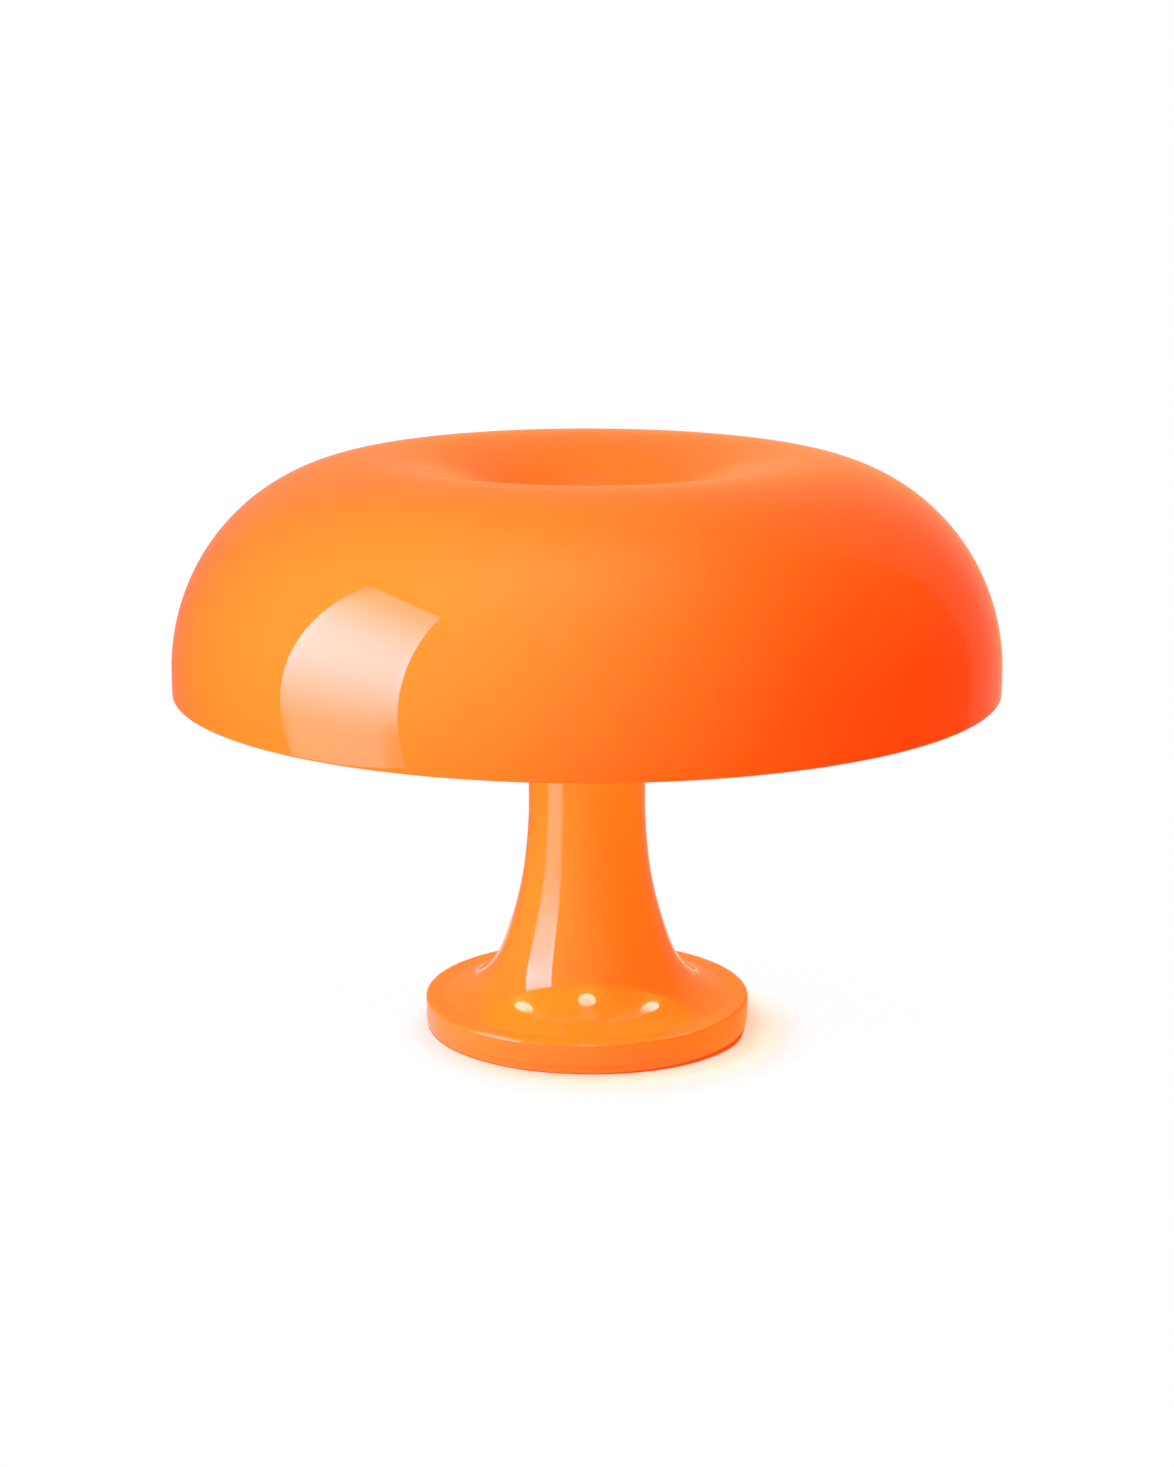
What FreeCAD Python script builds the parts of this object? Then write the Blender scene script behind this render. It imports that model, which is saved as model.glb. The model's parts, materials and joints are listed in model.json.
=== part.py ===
"""Mushroom table lamp: a moulded dome shade on a flared stem, with four bulbs inside.

Millimetres, +Z up. The origin is the middle of the underside, and the front looks along -Y.
"""
import FreeCAD, Part
import Sketcher
import math
import os
import re

# Driving sizes: name, millimetres (or a count), what it measures
SIZES = (
    ("plastic_wall", 3.0, "wall of the shade, the stem and the hub"),
    ("running_gap", 0.3, "radial gap between pieces that move past each other"),
    ("fit_gap", 0.1, "gap between pieces that are put together"),

    ("shade_radius", 158.0, "shade, outside at the rim"),
    ("shade_depth", 86.9, "shade, rim to crest"),
    ("rim_straight", 7.7, "shade, straight wall above the rim"),
    ("crest_radius", 80.9, "shade, radius at the crest"),
    ("funnel_depth", 46.0, "funnel, crest to neck"),
    ("neck_straight", 0.7, "funnel, straight neck above its floor"),
    ("neck_recess", 2.0, "hollow under the funnel's floor"),

    ("stem_radius", 22.6, "stem, outside"),
    ("stem_top", 139.0, "stem, top edge above the table"),
    ("flare_width", 32.1, "flare, radial reach"),
    ("flare_height", 82.0, "flare, height"),
    ("foot_ledge", 8.8, "foot, flat ledge outside the flare"),
    ("foot_side", 9.25, "foot, height of its side"),
    ("foot_round", 1.2, "foot, rounding of its top edge"),

    ("recess_height", 2.65, "gap between the foot's side and the table"),
    ("recess_inset", 0.7, "base plate, inset from the foot's side"),
    ("plate_lift", 0.2, "base plate, underside above the table"),
    ("plate_spigot", 0.6, "base plate, step that centres it in the foot"),
    ("pad_inner", 50.0, "non-slip ring, inside radius"),
    ("pad_width", 7.0, "non-slip ring, width"),
    ("pad_height", 1.6, "non-slip ring, thickness"),

    ("ballast_gap", 0.5, "ballast, gap to the foot's side"),
    ("boss_radius", 36.0, "ballast, radius of its raised middle"),
    ("boss_rise", 9.1, "ballast, rise of its middle"),
    ("well_radius", 14.0, "ballast, well for the lower nut"),
    ("well_depth", 9.1, "ballast, depth of the well"),
    ("cord_slot", 8.0, "ballast, width of the slot for the cord"),

    ("screw_circle", 29.0, "base screws, radius of their circle"),
    ("screw_count", 3, "base screws, how many"),
    ("screw_radius", 2.0, "base screws, shank"),
    ("screw_length", 12.0, "base screws, shank above the head"),
    ("head_radius", 3.8, "base screws, head"),
    ("head_height", 2.0, "base screws, head"),

    ("grommet_bore", 2.5, "cord grommet, bore radius"),
    ("grommet_wall", 0.6, "cord grommet, wall of its neck"),
    ("grommet_flange", 0.4, "cord grommet, flange beyond the neck"),
    ("grommet_thick", 1.2, "cord grommet, flange thickness"),
    ("grommet_tail", 2.4, "cord grommet, neck inside the foot"),

    ("rod_radius", 5.0, "tie rod and nipples, outside"),
    ("rod_bore", 3.5, "tie rod and nipples, inside"),
    ("rod_end", 0.5, "tie rod, end below the lower nut"),
    ("rod_above_floor", 10.0, "tie rod, end above the funnel's floor"),
    ("nut_flats", 14.0, "nuts, across the flats"),
    ("nut_height", 4.0, "nuts, thickness"),
    ("washer_radius", 9.0, "washers, outside"),
    ("washer_height", 1.5, "washers, thickness"),

    ("hub_half", 24.0, "hub, middle to flat side"),
    ("hub_corner", 9.0, "hub, corner radius"),
    ("hub_height", 30.0, "hub, height above the stem"),
    ("hub_spigot", 4.0, "hub, spigot inside the stem"),
    ("holder_rise", 15.0, "bulb axis above the hub's floor"),
    ("cover_height", 2.0, "hub cover, thickness"),
    ("boss_gap", 0.5, "hub cover, gap from its boss to the funnel's floor"),
    ("gasket_height", 1.0, "gasket between the hub cover and the shade"),

    ("board_half", 17.0, "terminal board, middle to side"),
    ("board_corner", 4.0, "terminal board, corner radius"),
    ("board_height", 6.0, "terminal board, thickness"),
    ("board_hole", 10.0, "terminal board, hole radius"),
    ("terminal_radius", 1.5, "terminal screws, radius"),
    ("terminal_height", 1.4, "terminal screws, height"),
    ("terminal_reach", 13.5, "terminals, distance from the axis"),
    ("terminal_pitch", 4.2, "terminal screws, offset either side"),
    ("lead_radius", 0.9, "leads, outside"),
    ("lead_offset", 1.4, "holder leads, offset either side"),
    ("lead_bend", 4.0, "leads, bend radius"),
    ("supply_offset", 2.0, "supply leads, offset either side"),
    ("supply_reach", 16.0, "supply leads, distance of their ends from the axis"),
    ("supply_drop", 2.0, "supply leads, straight drop to the board"),
    ("window_gap", 0.4, "tie rod's window, gap round the supply leads"),

    ("nipple_inside", 4.0, "nipples, length inside the hub"),
    ("nipple_outside", 7.0, "nipples, length outside the hub"),
    ("locknut_height", 3.0, "nipple locknuts, thickness"),

    ("holder_radius", 13.5, "bulb holder, outside"),
    ("holder_wall", 2.0, "bulb holder, wall"),
    ("holder_back", 3.0, "bulb holder, back wall of its dome"),
    ("holder_shoulder", 5.0, "bulb holder, rounding of its dome"),
    ("dome_length", 18.0, "bulb holder, dome"),
    ("mouth_gap", 1.0, "bulb holder, mouth to bulb collar"),
    ("mouth_lip", 2.5, "bulb holder, lip of its mouth"),
    ("mouth_bevel", 1.5, "bulb holder, bevel of its mouth"),
    ("insert_back", 2.0, "ceramic insert, length inside the dome"),
    ("insert_front", 8.0, "ceramic insert, length inside the skirt"),
    ("shell_wall", 0.5, "threaded shell, wall"),
    ("shell_flange", 1.0, "threaded shell, flange thickness"),
    ("shell_setback", 4.0, "threaded shell, end behind the mouth"),
    ("contact_height", 6.0, "contact, from the insert to the bulb"),
    ("contact_width", 4.0, "contact, width"),
    ("contact_leaf", 0.6, "contact, thickness of its leaf"),
    ("contact_foot", 5.6, "contact, foot below the bulb axis"),

    ("cap_radius", 6.95, "bulb cap, outside"),
    ("cap_length", 23.0, "bulb cap, tip to collar"),
    ("cap_tip", 1.5, "bulb cap, height of its tip"),
    ("cap_cone", 2.5, "bulb cap, height of its cone"),
    ("tip_radius", 2.5, "bulb cap, tip radius"),
    ("collar_radius", 8.6, "bulb collar, radius at the cap"),
    ("collar_flare", 15.0, "bulb collar, radius at the globe"),
    ("collar_length", 16.0, "bulb collar, length"),
    ("globe_radius", 22.0, "bulb globe, outside"),
    ("globe_wall", 1.2, "bulb globe, wall"),

    ("knob_radius", 14.0, "shade knob, outside"),
    ("knob_round", 4.0, "shade knob, rounding of its top"),
    ("knob_flutes", 12, "shade knob, finger grooves"),
    ("flute_radius", 2.0, "shade knob, radius of a groove"),
    ("flute_depth", 0.7, "shade knob, depth of a groove"),
    ("bush_radius", 7.5, "knob insert, outside"),
    ("rod_clear", 2.0, "knob, gap above the tie rod"),
    ("fibre_height", 1.0, "knob washer, thickness"),
)

# Sizes that follow from the driving ones
FORMULAS = {
    "foot_top": "recess_height + foot_side",
    "foot_ceiling": "foot_top - plastic_wall",
    "flare_radius": "stem_radius + flare_width",
    "flare_top": "foot_top + flare_height",
    "foot_radius": "flare_radius + foot_ledge",
    "foot_bore": "foot_radius - plastic_wall",
    "stem_bore": "stem_radius - plastic_wall",
    "plate_radius": "foot_radius - recess_inset",
    "plate_top": "recess_height + plate_spigot",
    "pad_outer": "pad_inner + pad_width",
    "head_top": "plate_lift + fit_gap + head_height",
    "screw_top": "head_top + screw_length",
    "screw_hole": "screw_radius + fit_gap / 2",
    "ballast_radius": "foot_bore - ballast_gap",
    "boss_top": "foot_ceiling + boss_rise",
    "well_top": "plate_top + well_depth",
    "grommet_neck": "grommet_bore + grommet_wall",
    "grommet_start": "foot_bore - grommet_tail",
    "cord_height": "plate_top + grommet_neck + fit_gap",
    "rod_hole": "rod_radius + fit_gap",
    "lower_nut_bottom": "well_top - washer_height - nut_height",
    "rod_bottom": "lower_nut_bottom - rod_end",
    "hub_floor": "stem_top + plastic_wall",
    "hub_inner": "hub_half - plastic_wall",
    "hub_top": "stem_top + hub_height",
    "bulb_height": "hub_floor + holder_rise",
    "cover_top": "hub_top + cover_height",
    "neck_bottom": "cover_top + gasket_height",
    "floor_under": "neck_bottom + neck_recess",
    "floor_top": "floor_under + plastic_wall",
    "neck_top": "floor_top + neck_straight",
    "crest_top": "neck_top + funnel_depth",
    "crest_under": "crest_top - plastic_wall",
    "rim_bottom": "crest_top - shade_depth",
    "rim_top": "rim_bottom + rim_straight",
    "shade_bore": "shade_radius - plastic_wall",
    "rod_top": "floor_top + rod_above_floor",
    "board_top": "hub_floor + board_height",
    "exit_height": "board_top + supply_drop + lead_bend",
    "window_half": "supply_offset + lead_radius + window_gap",
    "insert_rear": "joint_plane - insert_back",
    "joint_plane": "hub_half + dome_length",
    "insert_face": "joint_plane + insert_front",
    "tip_plane": "insert_face + contact_height",
    "cap_plane": "tip_plane + cap_length",
    "mouth_plane": "cap_plane - mouth_gap",
    "shell_end": "mouth_plane - shell_setback",
    "holder_bore": "holder_radius - holder_wall",
    "insert_rim": "holder_bore - fit_gap",
    "shell_bore": "cap_radius + running_gap / 2",
    "shell_rim": "shell_bore + shell_wall",
    "mouth_bore": "shell_rim + running_gap",
    "globe_plane": "cap_plane + collar_length",
    "globe_seat": "sqrt(globe_radius * globe_radius - collar_flare * collar_flare)",
    "globe_end": "globe_plane + globe_seat + globe_radius",
    "globe_bore": "globe_radius - globe_wall",
    "globe_mouth": "sqrt(globe_bore * globe_bore - globe_seat * globe_seat)",
    "knob_bottom": "floor_top + fibre_height",
    "knob_bore": "rod_radius + running_gap",
    "bush_top": "rod_top + rod_clear",
    "knob_top": "bush_top + plastic_wall",
}

BULB_TURNS = {1: -90, 2: 0, 3: 90, 4: 180}
SUPPLY_TURN = 45
CORD_TURN = 90
FULL_TURN = 360
SIDES = 4

doc = FreeCAD.newDocument("table_lamp")
sheet = doc.addObject("Spreadsheet::Sheet", "sizes")
for row, (alias, number, meaning) in enumerate(SIZES, start=1):
    sheet.set(f"A{row}", meaning)
    sheet.set(f"B{row}", str(number))
    sheet.setAlias(f"B{row}", alias)
doc.recompute()
DRIVING = {alias for alias, number, meaning in SIZES}


def bound(text):
    """The expression with every name traced back to a cell of the sheet."""
    def swap(match):
        word = match.group()
        if word in FORMULAS:
            return f"({bound(FORMULAS[word])})"
        return f"sizes.{word}" if word in DRIVING else word
    return re.sub(r"[a-z_]+", swap, text)


def worth(text):
    """The number that an expression gives now."""
    return float(sheet.evalExpression(bound(text).replace("sizes.", "")))


def tie(thing, field, text):
    """Binds one property of a document object to the sheet."""
    thing.setExpression(field, bound(text))


# Sketches

def new_body(label):
    body = doc.addObject("PartDesign::Body", label)
    body.Label = label
    return body


def origin_part(body, role):
    return next(part for part in body.Origin.OriginFeatures if part.Role == role)


def new_sketch(body, plane="XZ_Plane", lift=None):
    """A sketch on one of the body's own planes, lifted along that plane's normal."""
    sketch = body.newObject("Sketcher::SketchObject", f"{body.Name}_sketch")
    sketch.AttachmentSupport = [(origin_part(body, plane), "")]
    sketch.MapMode = "FlatFace"
    if lift:
        tie(sketch, "AttachmentOffset.Base.z", lift)
    return sketch


def pin(sketch, edge, end, corner):
    """Dimensions one point of an edge from the sketch's origin."""
    for kind, text in zip(("DistanceX", "DistanceY"), corner):
        number = sketch.addConstraint(Sketcher.Constraint(kind, -1, 1, edge, end, worth(text)))
        tie(sketch, f"Constraints[{number}]", text)


def size_round(sketch, edge, radius):
    number = sketch.addConstraint(Sketcher.Constraint("Radius", edge, worth(radius)))
    tie(sketch, f"Constraints[{number}]", radius)


def spot(corner):
    return FreeCAD.Vector(worth(corner[0]), worth(corner[1]), 0)


def add_line(sketch, start, stop):
    return sketch.addGeometry(Part.LineSegment(spot(start), spot(stop))), (1, 2)


def add_arc(sketch, start, stop, radius):
    """An arc of under half a circle, to the left, or to the right where the radius has a minus."""
    side = -1 if radius.startswith("-") else 1
    size = radius.lstrip("-")
    one, two = spot(start), spot(stop)
    chord = two - one
    inward = FreeCAD.Vector(-chord.y, chord.x, 0).normalize() * side
    centre = one + chord / 2 + inward * math.sqrt(max(worth(size) ** 2 - chord.Length ** 2 / 4, 0))
    ends = (one, two) if side > 0 else (two, one)
    angles = [math.atan2(end.y - centre.y, end.x - centre.x) for end in ends]
    circle = Part.Circle(centre, FreeCAD.Vector(0, 0, 1), worth(size))
    edge = sketch.addGeometry(Part.ArcOfCircle(circle, *angles))
    size_round(sketch, edge, size)
    return edge, (1, 2) if side > 0 else (2, 1)


def add_quarter(sketch, start, stop, centre):
    """A quarter of an ellipse, between two corners that lie on its axes."""
    middle = spot(centre)
    arms = [spot(start) - middle, spot(stop) - middle]
    width = max(abs(arm.x) for arm in arms)
    height = max(abs(arm.y) for arm in arms)
    upright = height > width
    major = FreeCAD.Vector(0, height, 0) if upright else FreeCAD.Vector(width, 0, 0)
    minor = FreeCAD.Vector(-width, 0, 0) if upright else FreeCAD.Vector(0, height, 0)
    angles = [math.atan2(arm.dot(minor) / minor.Length ** 2, arm.dot(major) / major.Length ** 2) for arm in arms]
    forward = (angles[1] - angles[0]) % math.tau < math.pi
    first, last = angles if forward else reversed(angles)
    ellipse = Part.Ellipse(middle + major, middle + minor, middle)
    edge = sketch.addGeometry(Part.ArcOfEllipse(ellipse, first, first + (last - first) % math.tau))
    axis = sketch.GeometryCount
    sketch.exposeInternalGeometry(edge)
    sketch.addConstraint(Sketcher.Constraint("Vertical" if upright else "Horizontal", axis))
    pin(sketch, edge, 3, centre)
    return edge, (1, 2) if forward else (2, 1)


def draw(sketch, outline, closed=True):
    """Draws an outline of corners. A third entry bends the edge that leaves its corner:
    a radius makes an arc, and a centre makes a quarter of an ellipse."""
    corners = list(outline)
    following = corners[1:] + corners[:1] if closed else corners[1:]
    edges = []
    for (*start, bend), (*stop, unused) in zip(map(with_bend, corners), map(with_bend, following)):
        if bend is None:
            edges.append(add_line(sketch, start, stop))
        elif isinstance(bend, tuple):
            edges.append(add_quarter(sketch, start, stop, bend))
        else:
            edges.append(add_arc(sketch, start, stop, bend))
    joints = zip(edges, edges[1:] + edges[:1] if closed else edges[1:])
    for (edge, ends), (after, starts) in joints:
        sketch.addConstraint(Sketcher.Constraint("Coincident", edge, ends[1], after, starts[0]))
    for (edge, ends), corner in zip(edges, corners):
        pin(sketch, edge, ends[0], corner[:2])
    if not closed:
        pin(sketch, edges[-1][0], edges[-1][1][1], corners[-1][:2])


def with_bend(corner):
    return corner if len(corner) > 2 else (*corner, None)


def draw_ring(sketch, radius, centre=("0", "0")):
    edge = sketch.addGeometry(Part.Circle(spot(centre), FreeCAD.Vector(0, 0, 1), worth(radius)))
    size_round(sketch, edge, radius)
    pin(sketch, edge, 3, centre)


def rounded_square(half, corner):
    """Corners of a square about the origin, with round corners, anticlockwise."""
    flat = f"({half} - {corner})"
    return (
        (half, f"-{flat}"), (half, flat, corner),
        (flat, half), (f"-{flat}", half, corner),
        (f"-{half}", flat), (f"-{half}", f"-{flat}", corner),
        (f"-{flat}", f"-{half}"), (flat, f"-{half}", corner),
    )


def hexagon(flats):
    """Corners of a regular hexagon about the origin."""
    side, tip, half_tip = f"{flats} / 2", f"{flats} / sqrt(3)", f"{flats} / (2 * sqrt(3))"
    return (
        (side, f"-{half_tip}"), (side, half_tip), ("0", tip),
        (f"-{side}", half_tip), (f"-{side}", f"-{half_tip}"), ("0", f"-{tip}"),
    )


# Features

def turn(body, outline, axis="V_Axis"):
    """Revolves an outline of the XZ plane about Z (V_Axis) or X (H_Axis)."""
    sketch = new_sketch(body)
    draw(sketch, outline)
    feature = body.newObject("PartDesign::Revolution", f"{body.Name}_turn")
    feature.Profile = sketch
    feature.ReferenceAxis = (sketch, [axis])
    feature.Angle = FULL_TURN
    return feature


def fill(sketch, outline, rings):
    if outline:
        draw(sketch, outline)
    for ring in rings:
        draw_ring(sketch, *ring)


def pad(body, plane, lift, height, outline=None, rings=(), symmetric=False):
    """Raises an outline, or rings, from a plane along its normal."""
    sketch = new_sketch(body, plane, lift)
    fill(sketch, outline, rings)
    feature = body.newObject("PartDesign::Pad", f"{body.Name}_pad")
    feature.Profile = sketch
    feature.SideType = "Symmetric" if symmetric else "One side"
    tie(feature, "Length", height)
    return feature


def cut(body, plane, lift, depth, outline=None, rings=(), along=False, symmetric=False):
    """Cuts an outline, or rings, against a plane's normal, or along it."""
    doc.recompute()
    before = body.Shape.Volume
    sketch = new_sketch(body, plane, lift)
    fill(sketch, outline, rings)
    feature = body.newObject("PartDesign::Pocket", f"{body.Name}_cut")
    feature.Profile = sketch
    feature.SideType = "Symmetric" if symmetric else "One side"
    feature.Reversed = along
    tie(feature, "Length", depth)
    doc.recompute()
    if not body.Shape.Volume < before:
        raise RuntimeError(f"{body.Label}: a cut removed nothing")
    return feature


def repeat(body, feature, count):
    """Spreads a feature evenly round Z."""
    doc.recompute()
    pattern = body.newObject("PartDesign::PolarPattern", f"{body.Name}_pattern")
    pattern.Originals = [feature]
    pattern.Axis = (origin_part(body, "Z_Axis"), [""])
    pattern.Angle = FULL_TURN
    tie(pattern, "Occurrences", count)
    body.Tip = pattern


def pipe(body, path, offset, plane, lift, centre):
    """A round lead along a path in a plane that lies offset in Y, and its mirror image."""
    route = new_sketch(body, "XZ_Plane", f"-{offset}")
    draw(route, path, closed=False)
    section = new_sketch(body, plane, lift)
    draw_ring(section, "lead_radius", centre)
    feature = body.newObject("PartDesign::AdditivePipe", f"{body.Name}_pipe")
    feature.Profile = section
    feature.Spine = (route, [f"Edge{number + 1}" for number in range(len(path) - 1)])
    doc.recompute()
    mirror = body.newObject("PartDesign::Mirrored", f"{body.Name}_mirror")
    mirror.Originals = [feature]
    mirror.MirrorPlane = (origin_part(body, "XZ_Plane"), [""])
    body.Tip = mirror


def face_out(body, degrees, height):
    """Places a body that was built along X at a height, turned about Z."""
    body.Placement = FreeCAD.Placement(FreeCAD.Vector(), FreeCAD.Rotation(FreeCAD.Vector(0, 0, 1), degrees))
    tie(body, "Placement.Base.z", height)


def ring(label, inner, outer, bottom, top):
    turn(new_body(label), ((inner, bottom), (outer, bottom), (outer, top), (inner, top)))


def nut(label, bottom):
    pad(new_body(label), "XY_Plane", bottom, "nut_height", hexagon("nut_flats"), [("rod_hole",)])


# Foot and stem

def make_stem_foot():
    body = new_body("stem_foot")
    centre = ("flare_radius", "flare_top")
    turn(body, (
        ("foot_radius", "recess_height"),
        ("foot_radius", "foot_top - foot_round", "foot_round"),
        ("foot_radius - foot_round", "foot_top"),
        ("flare_radius", "foot_top", centre),
        ("stem_radius", "flare_top"),
        ("stem_radius", "stem_top"),
        ("stem_bore", "stem_top"),
        ("stem_bore", "flare_top", centre),
        ("flare_radius", "foot_ceiling"),
        ("foot_bore", "foot_ceiling"),
        ("foot_bore", "recess_height"),
    ))
    hole = [("grommet_neck + fit_gap / 2", ("0", "cord_height"))]
    cut(body, "XZ_Plane", "-(grommet_start - fit_gap)", "foot_radius - grommet_start + plastic_wall", rings=hole)


def make_base_plate():
    body = new_body("base_plate")
    groove_top = "pad_height"
    turn(body, (
        ("0", "plate_lift"),
        ("pad_inner", "plate_lift"),
        ("pad_inner", groove_top),
        ("pad_outer", groove_top),
        ("pad_outer", "plate_lift"),
        ("plate_radius", "plate_lift"),
        ("plate_radius", "recess_height"),
        ("foot_bore - fit_gap", "recess_height"),
        ("foot_bore - fit_gap", "plate_top"),
        ("0", "plate_top"),
    ))
    centre = ("screw_circle", "0")
    hole = cut(body, "XY_Plane", "plate_top", "plate_top - plate_lift", rings=[("screw_hole", centre)])
    repeat(body, hole, "screw_count")
    sink = cut(body, "XY_Plane", "head_top", "head_top - plate_lift", rings=[("head_radius + fit_gap", centre)])
    repeat(body, sink, "screw_count")


def make_non_slip_ring():
    ring("non_slip_ring", "pad_inner + fit_gap", "pad_outer - fit_gap", "0", "pad_height")


def make_ballast():
    body = new_body("ballast_weight")
    turn(body, (
        ("rod_hole", "well_top"),
        ("well_radius", "well_top"),
        ("well_radius", "plate_top"),
        ("ballast_radius", "plate_top"),
        ("ballast_radius", "foot_ceiling"),
        ("boss_radius", "foot_ceiling"),
        ("boss_radius", "boss_top"),
        ("rod_hole", "boss_top"),
    ))
    slot = (
        ("-cord_slot / 2", "0"),
        ("cord_slot / 2", "0"),
        ("cord_slot / 2", "foot_radius"),
        ("-cord_slot / 2", "foot_radius"),
    )
    cut(body, "XY_Plane", "foot_ceiling", "foot_ceiling - plate_top", slot)
    tapped = [("screw_hole", ("screw_circle", "0"))]
    hole = cut(body, "XY_Plane", "plate_top", "screw_top - plate_top + fit_gap", rings=tapped, along=True)
    repeat(body, hole, "screw_count")


def make_base_screws():
    body = new_body("base_screws")
    centre = ("screw_circle", "0")
    head = pad(body, "XY_Plane", "head_top - head_height", "head_height", rings=[("head_radius", centre)])
    shank = pad(body, "XY_Plane", "head_top", "screw_length", rings=[("screw_radius", centre)])
    repeat(body, head, "screw_count")
    body.Tip.Originals = [head, shank]


def make_cord_grommet():
    body = new_body("cord_grommet")
    turn(body, (
        ("grommet_start", "grommet_bore"),
        ("grommet_start", "grommet_neck"),
        ("foot_radius", "grommet_neck"),
        ("foot_radius", "grommet_neck + grommet_flange"),
        ("foot_radius + grommet_thick", "grommet_neck + grommet_flange"),
        ("foot_radius + grommet_thick", "grommet_bore"),
    ), "H_Axis")
    face_out(body, CORD_TURN, "cord_height")


def make_tie_rod():
    body = new_body("tie_rod")
    turn(body, (
        ("rod_bore", "rod_bottom"),
        ("rod_radius", "rod_bottom"),
        ("rod_radius", "rod_top"),
        ("rod_bore", "rod_top"),
    ))
    low = "exit_height - lead_bend - window_gap"
    high = "exit_height + lead_radius + window_gap"
    window = (("-window_half", low), ("window_half", low), ("window_half", high), ("-window_half", high))
    cut(body, "YZ_Plane", None, "rod_radius + window_gap", window, along=True)
    face_out(body, SUPPLY_TURN, "0")


def make_rod_nuts():
    ring("lower_washer", "rod_hole", "washer_radius", "well_top - washer_height", "well_top")
    nut("lower_nut", "lower_nut_bottom")
    ring("hub_washer", "rod_hole", "washer_radius", "hub_floor", "hub_floor + washer_height")
    nut("hub_nut", "hub_floor + washer_height")


# Hub and wiring

def make_hub():
    body = new_body("holder_hub")
    pad(body, "XY_Plane", "stem_top", "hub_height", rounded_square("hub_half", "hub_corner"))
    spigot = [("stem_bore - fit_gap",), ("stem_bore - fit_gap - plastic_wall",)]
    pad(body, "XY_Plane", "stem_top - hub_spigot", "hub_spigot", rings=spigot)
    inside = rounded_square("hub_inner", "(hub_corner - plastic_wall)")
    cut(body, "XY_Plane", "hub_top", "hub_height - plastic_wall", inside)
    cut(body, "XY_Plane", "hub_floor", "plastic_wall", rings=[("rod_hole",)])
    for plane in ("XZ_Plane", "YZ_Plane"):
        hole = [("rod_hole", ("0", "bulb_height"))]
        cut(body, plane, None, "2 * hub_half", rings=hole, symmetric=True)


def make_hub_cover():
    body = new_body("hub_cover")
    pad(body, "XY_Plane", "hub_top", "cover_height", rounded_square("hub_half", "hub_corner"))
    boss_height = "gasket_height + neck_recess - boss_gap"
    pad(body, "XY_Plane", "cover_top", boss_height, rings=[("stem_bore - running_gap",)])
    cut(body, "XY_Plane", f"cover_top + {boss_height}", f"cover_height + {boss_height}", rings=[("rod_hole",)])
    ring("shade_gasket", "stem_bore", "stem_radius", "cover_top", "neck_bottom")


def make_terminals():
    board = new_body("terminal_board")
    square = rounded_square("board_half", "board_corner")
    pad(board, "XY_Plane", "hub_floor", "board_height", square, [("board_hole",)])
    screws = new_body("terminal_screws")
    pair = [("terminal_radius", ("terminal_reach", side + "terminal_pitch")) for side in ("", "-")]
    heads = pad(screws, "XY_Plane", "board_top", "terminal_height", rings=pair)
    repeat(screws, heads, str(SIDES))


def make_supply_leads():
    """Two leads up the tie rod, out of its window and down to the terminal board."""
    body = new_body("supply_leads")
    start = "lower_nut_bottom"
    path = (
        ("0", start),
        ("0", "exit_height - lead_bend", "-lead_bend"),
        ("lead_bend", "exit_height"),
        ("supply_reach - lead_bend", "exit_height", "-lead_bend"),
        ("supply_reach", "exit_height - lead_bend"),
        ("supply_reach", "board_top"),
    )
    pipe(body, path, "supply_offset", "XY_Plane", start, ("0", "supply_offset"))
    face_out(body, SUPPLY_TURN, "0")


def make_nipples():
    nipples = new_body("holder_nipples")
    walls = [("rod_radius", ("0", "bulb_height")), ("rod_bore", ("0", "bulb_height"))]
    start = "hub_inner - nipple_inside"
    tube = pad(nipples, "YZ_Plane", start, "nipple_inside + plastic_wall + nipple_outside", rings=walls)
    repeat(nipples, tube, str(SIDES))
    locknuts = new_body("nipple_locknuts")
    outline = [(across, f"{up} + bulb_height") for across, up in hexagon("nut_flats")]
    hole = [("rod_hole", ("0", "bulb_height"))]
    block = pad(locknuts, "YZ_Plane", "hub_inner - locknut_height", "locknut_height", outline, hole)
    repeat(locknuts, block, str(SIDES))


# Bulb holders and bulbs, built along X from the lamp's axis

def make_holder_dome(body):
    turn(body, (
        ("hub_half", "rod_hole"),
        ("hub_half", "holder_radius - holder_shoulder", "-holder_shoulder"),
        ("hub_half + holder_shoulder", "holder_radius"),
        ("joint_plane", "holder_radius"),
        ("joint_plane", "holder_bore"),
        ("hub_half + holder_back", "holder_bore"),
        ("hub_half + holder_back", "rod_hole"),
    ), "H_Axis")


def make_holder_skirt(body):
    turn(body, (
        ("joint_plane", "holder_bore"),
        ("joint_plane", "holder_radius"),
        ("mouth_plane - mouth_bevel", "holder_radius"),
        ("mouth_plane", "holder_radius - mouth_bevel"),
        ("mouth_plane", "mouth_bore"),
        ("mouth_plane - mouth_lip", "mouth_bore"),
        ("mouth_plane - mouth_lip", "holder_bore"),
    ), "H_Axis")


def make_holder_insert(body):
    turn(body, (
        ("insert_rear", "0"),
        ("insert_rear", "insert_rim"),
        ("insert_face", "insert_rim"),
        ("insert_face", "0"),
    ), "H_Axis")


def make_holder_shell(body):
    turn(body, (
        ("insert_face", "shell_bore"),
        ("insert_face", "insert_rim"),
        ("insert_face + shell_flange", "insert_rim"),
        ("insert_face + shell_flange", "shell_rim"),
        ("shell_end", "shell_rim"),
        ("shell_end", "shell_bore"),
    ), "H_Axis")


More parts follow.
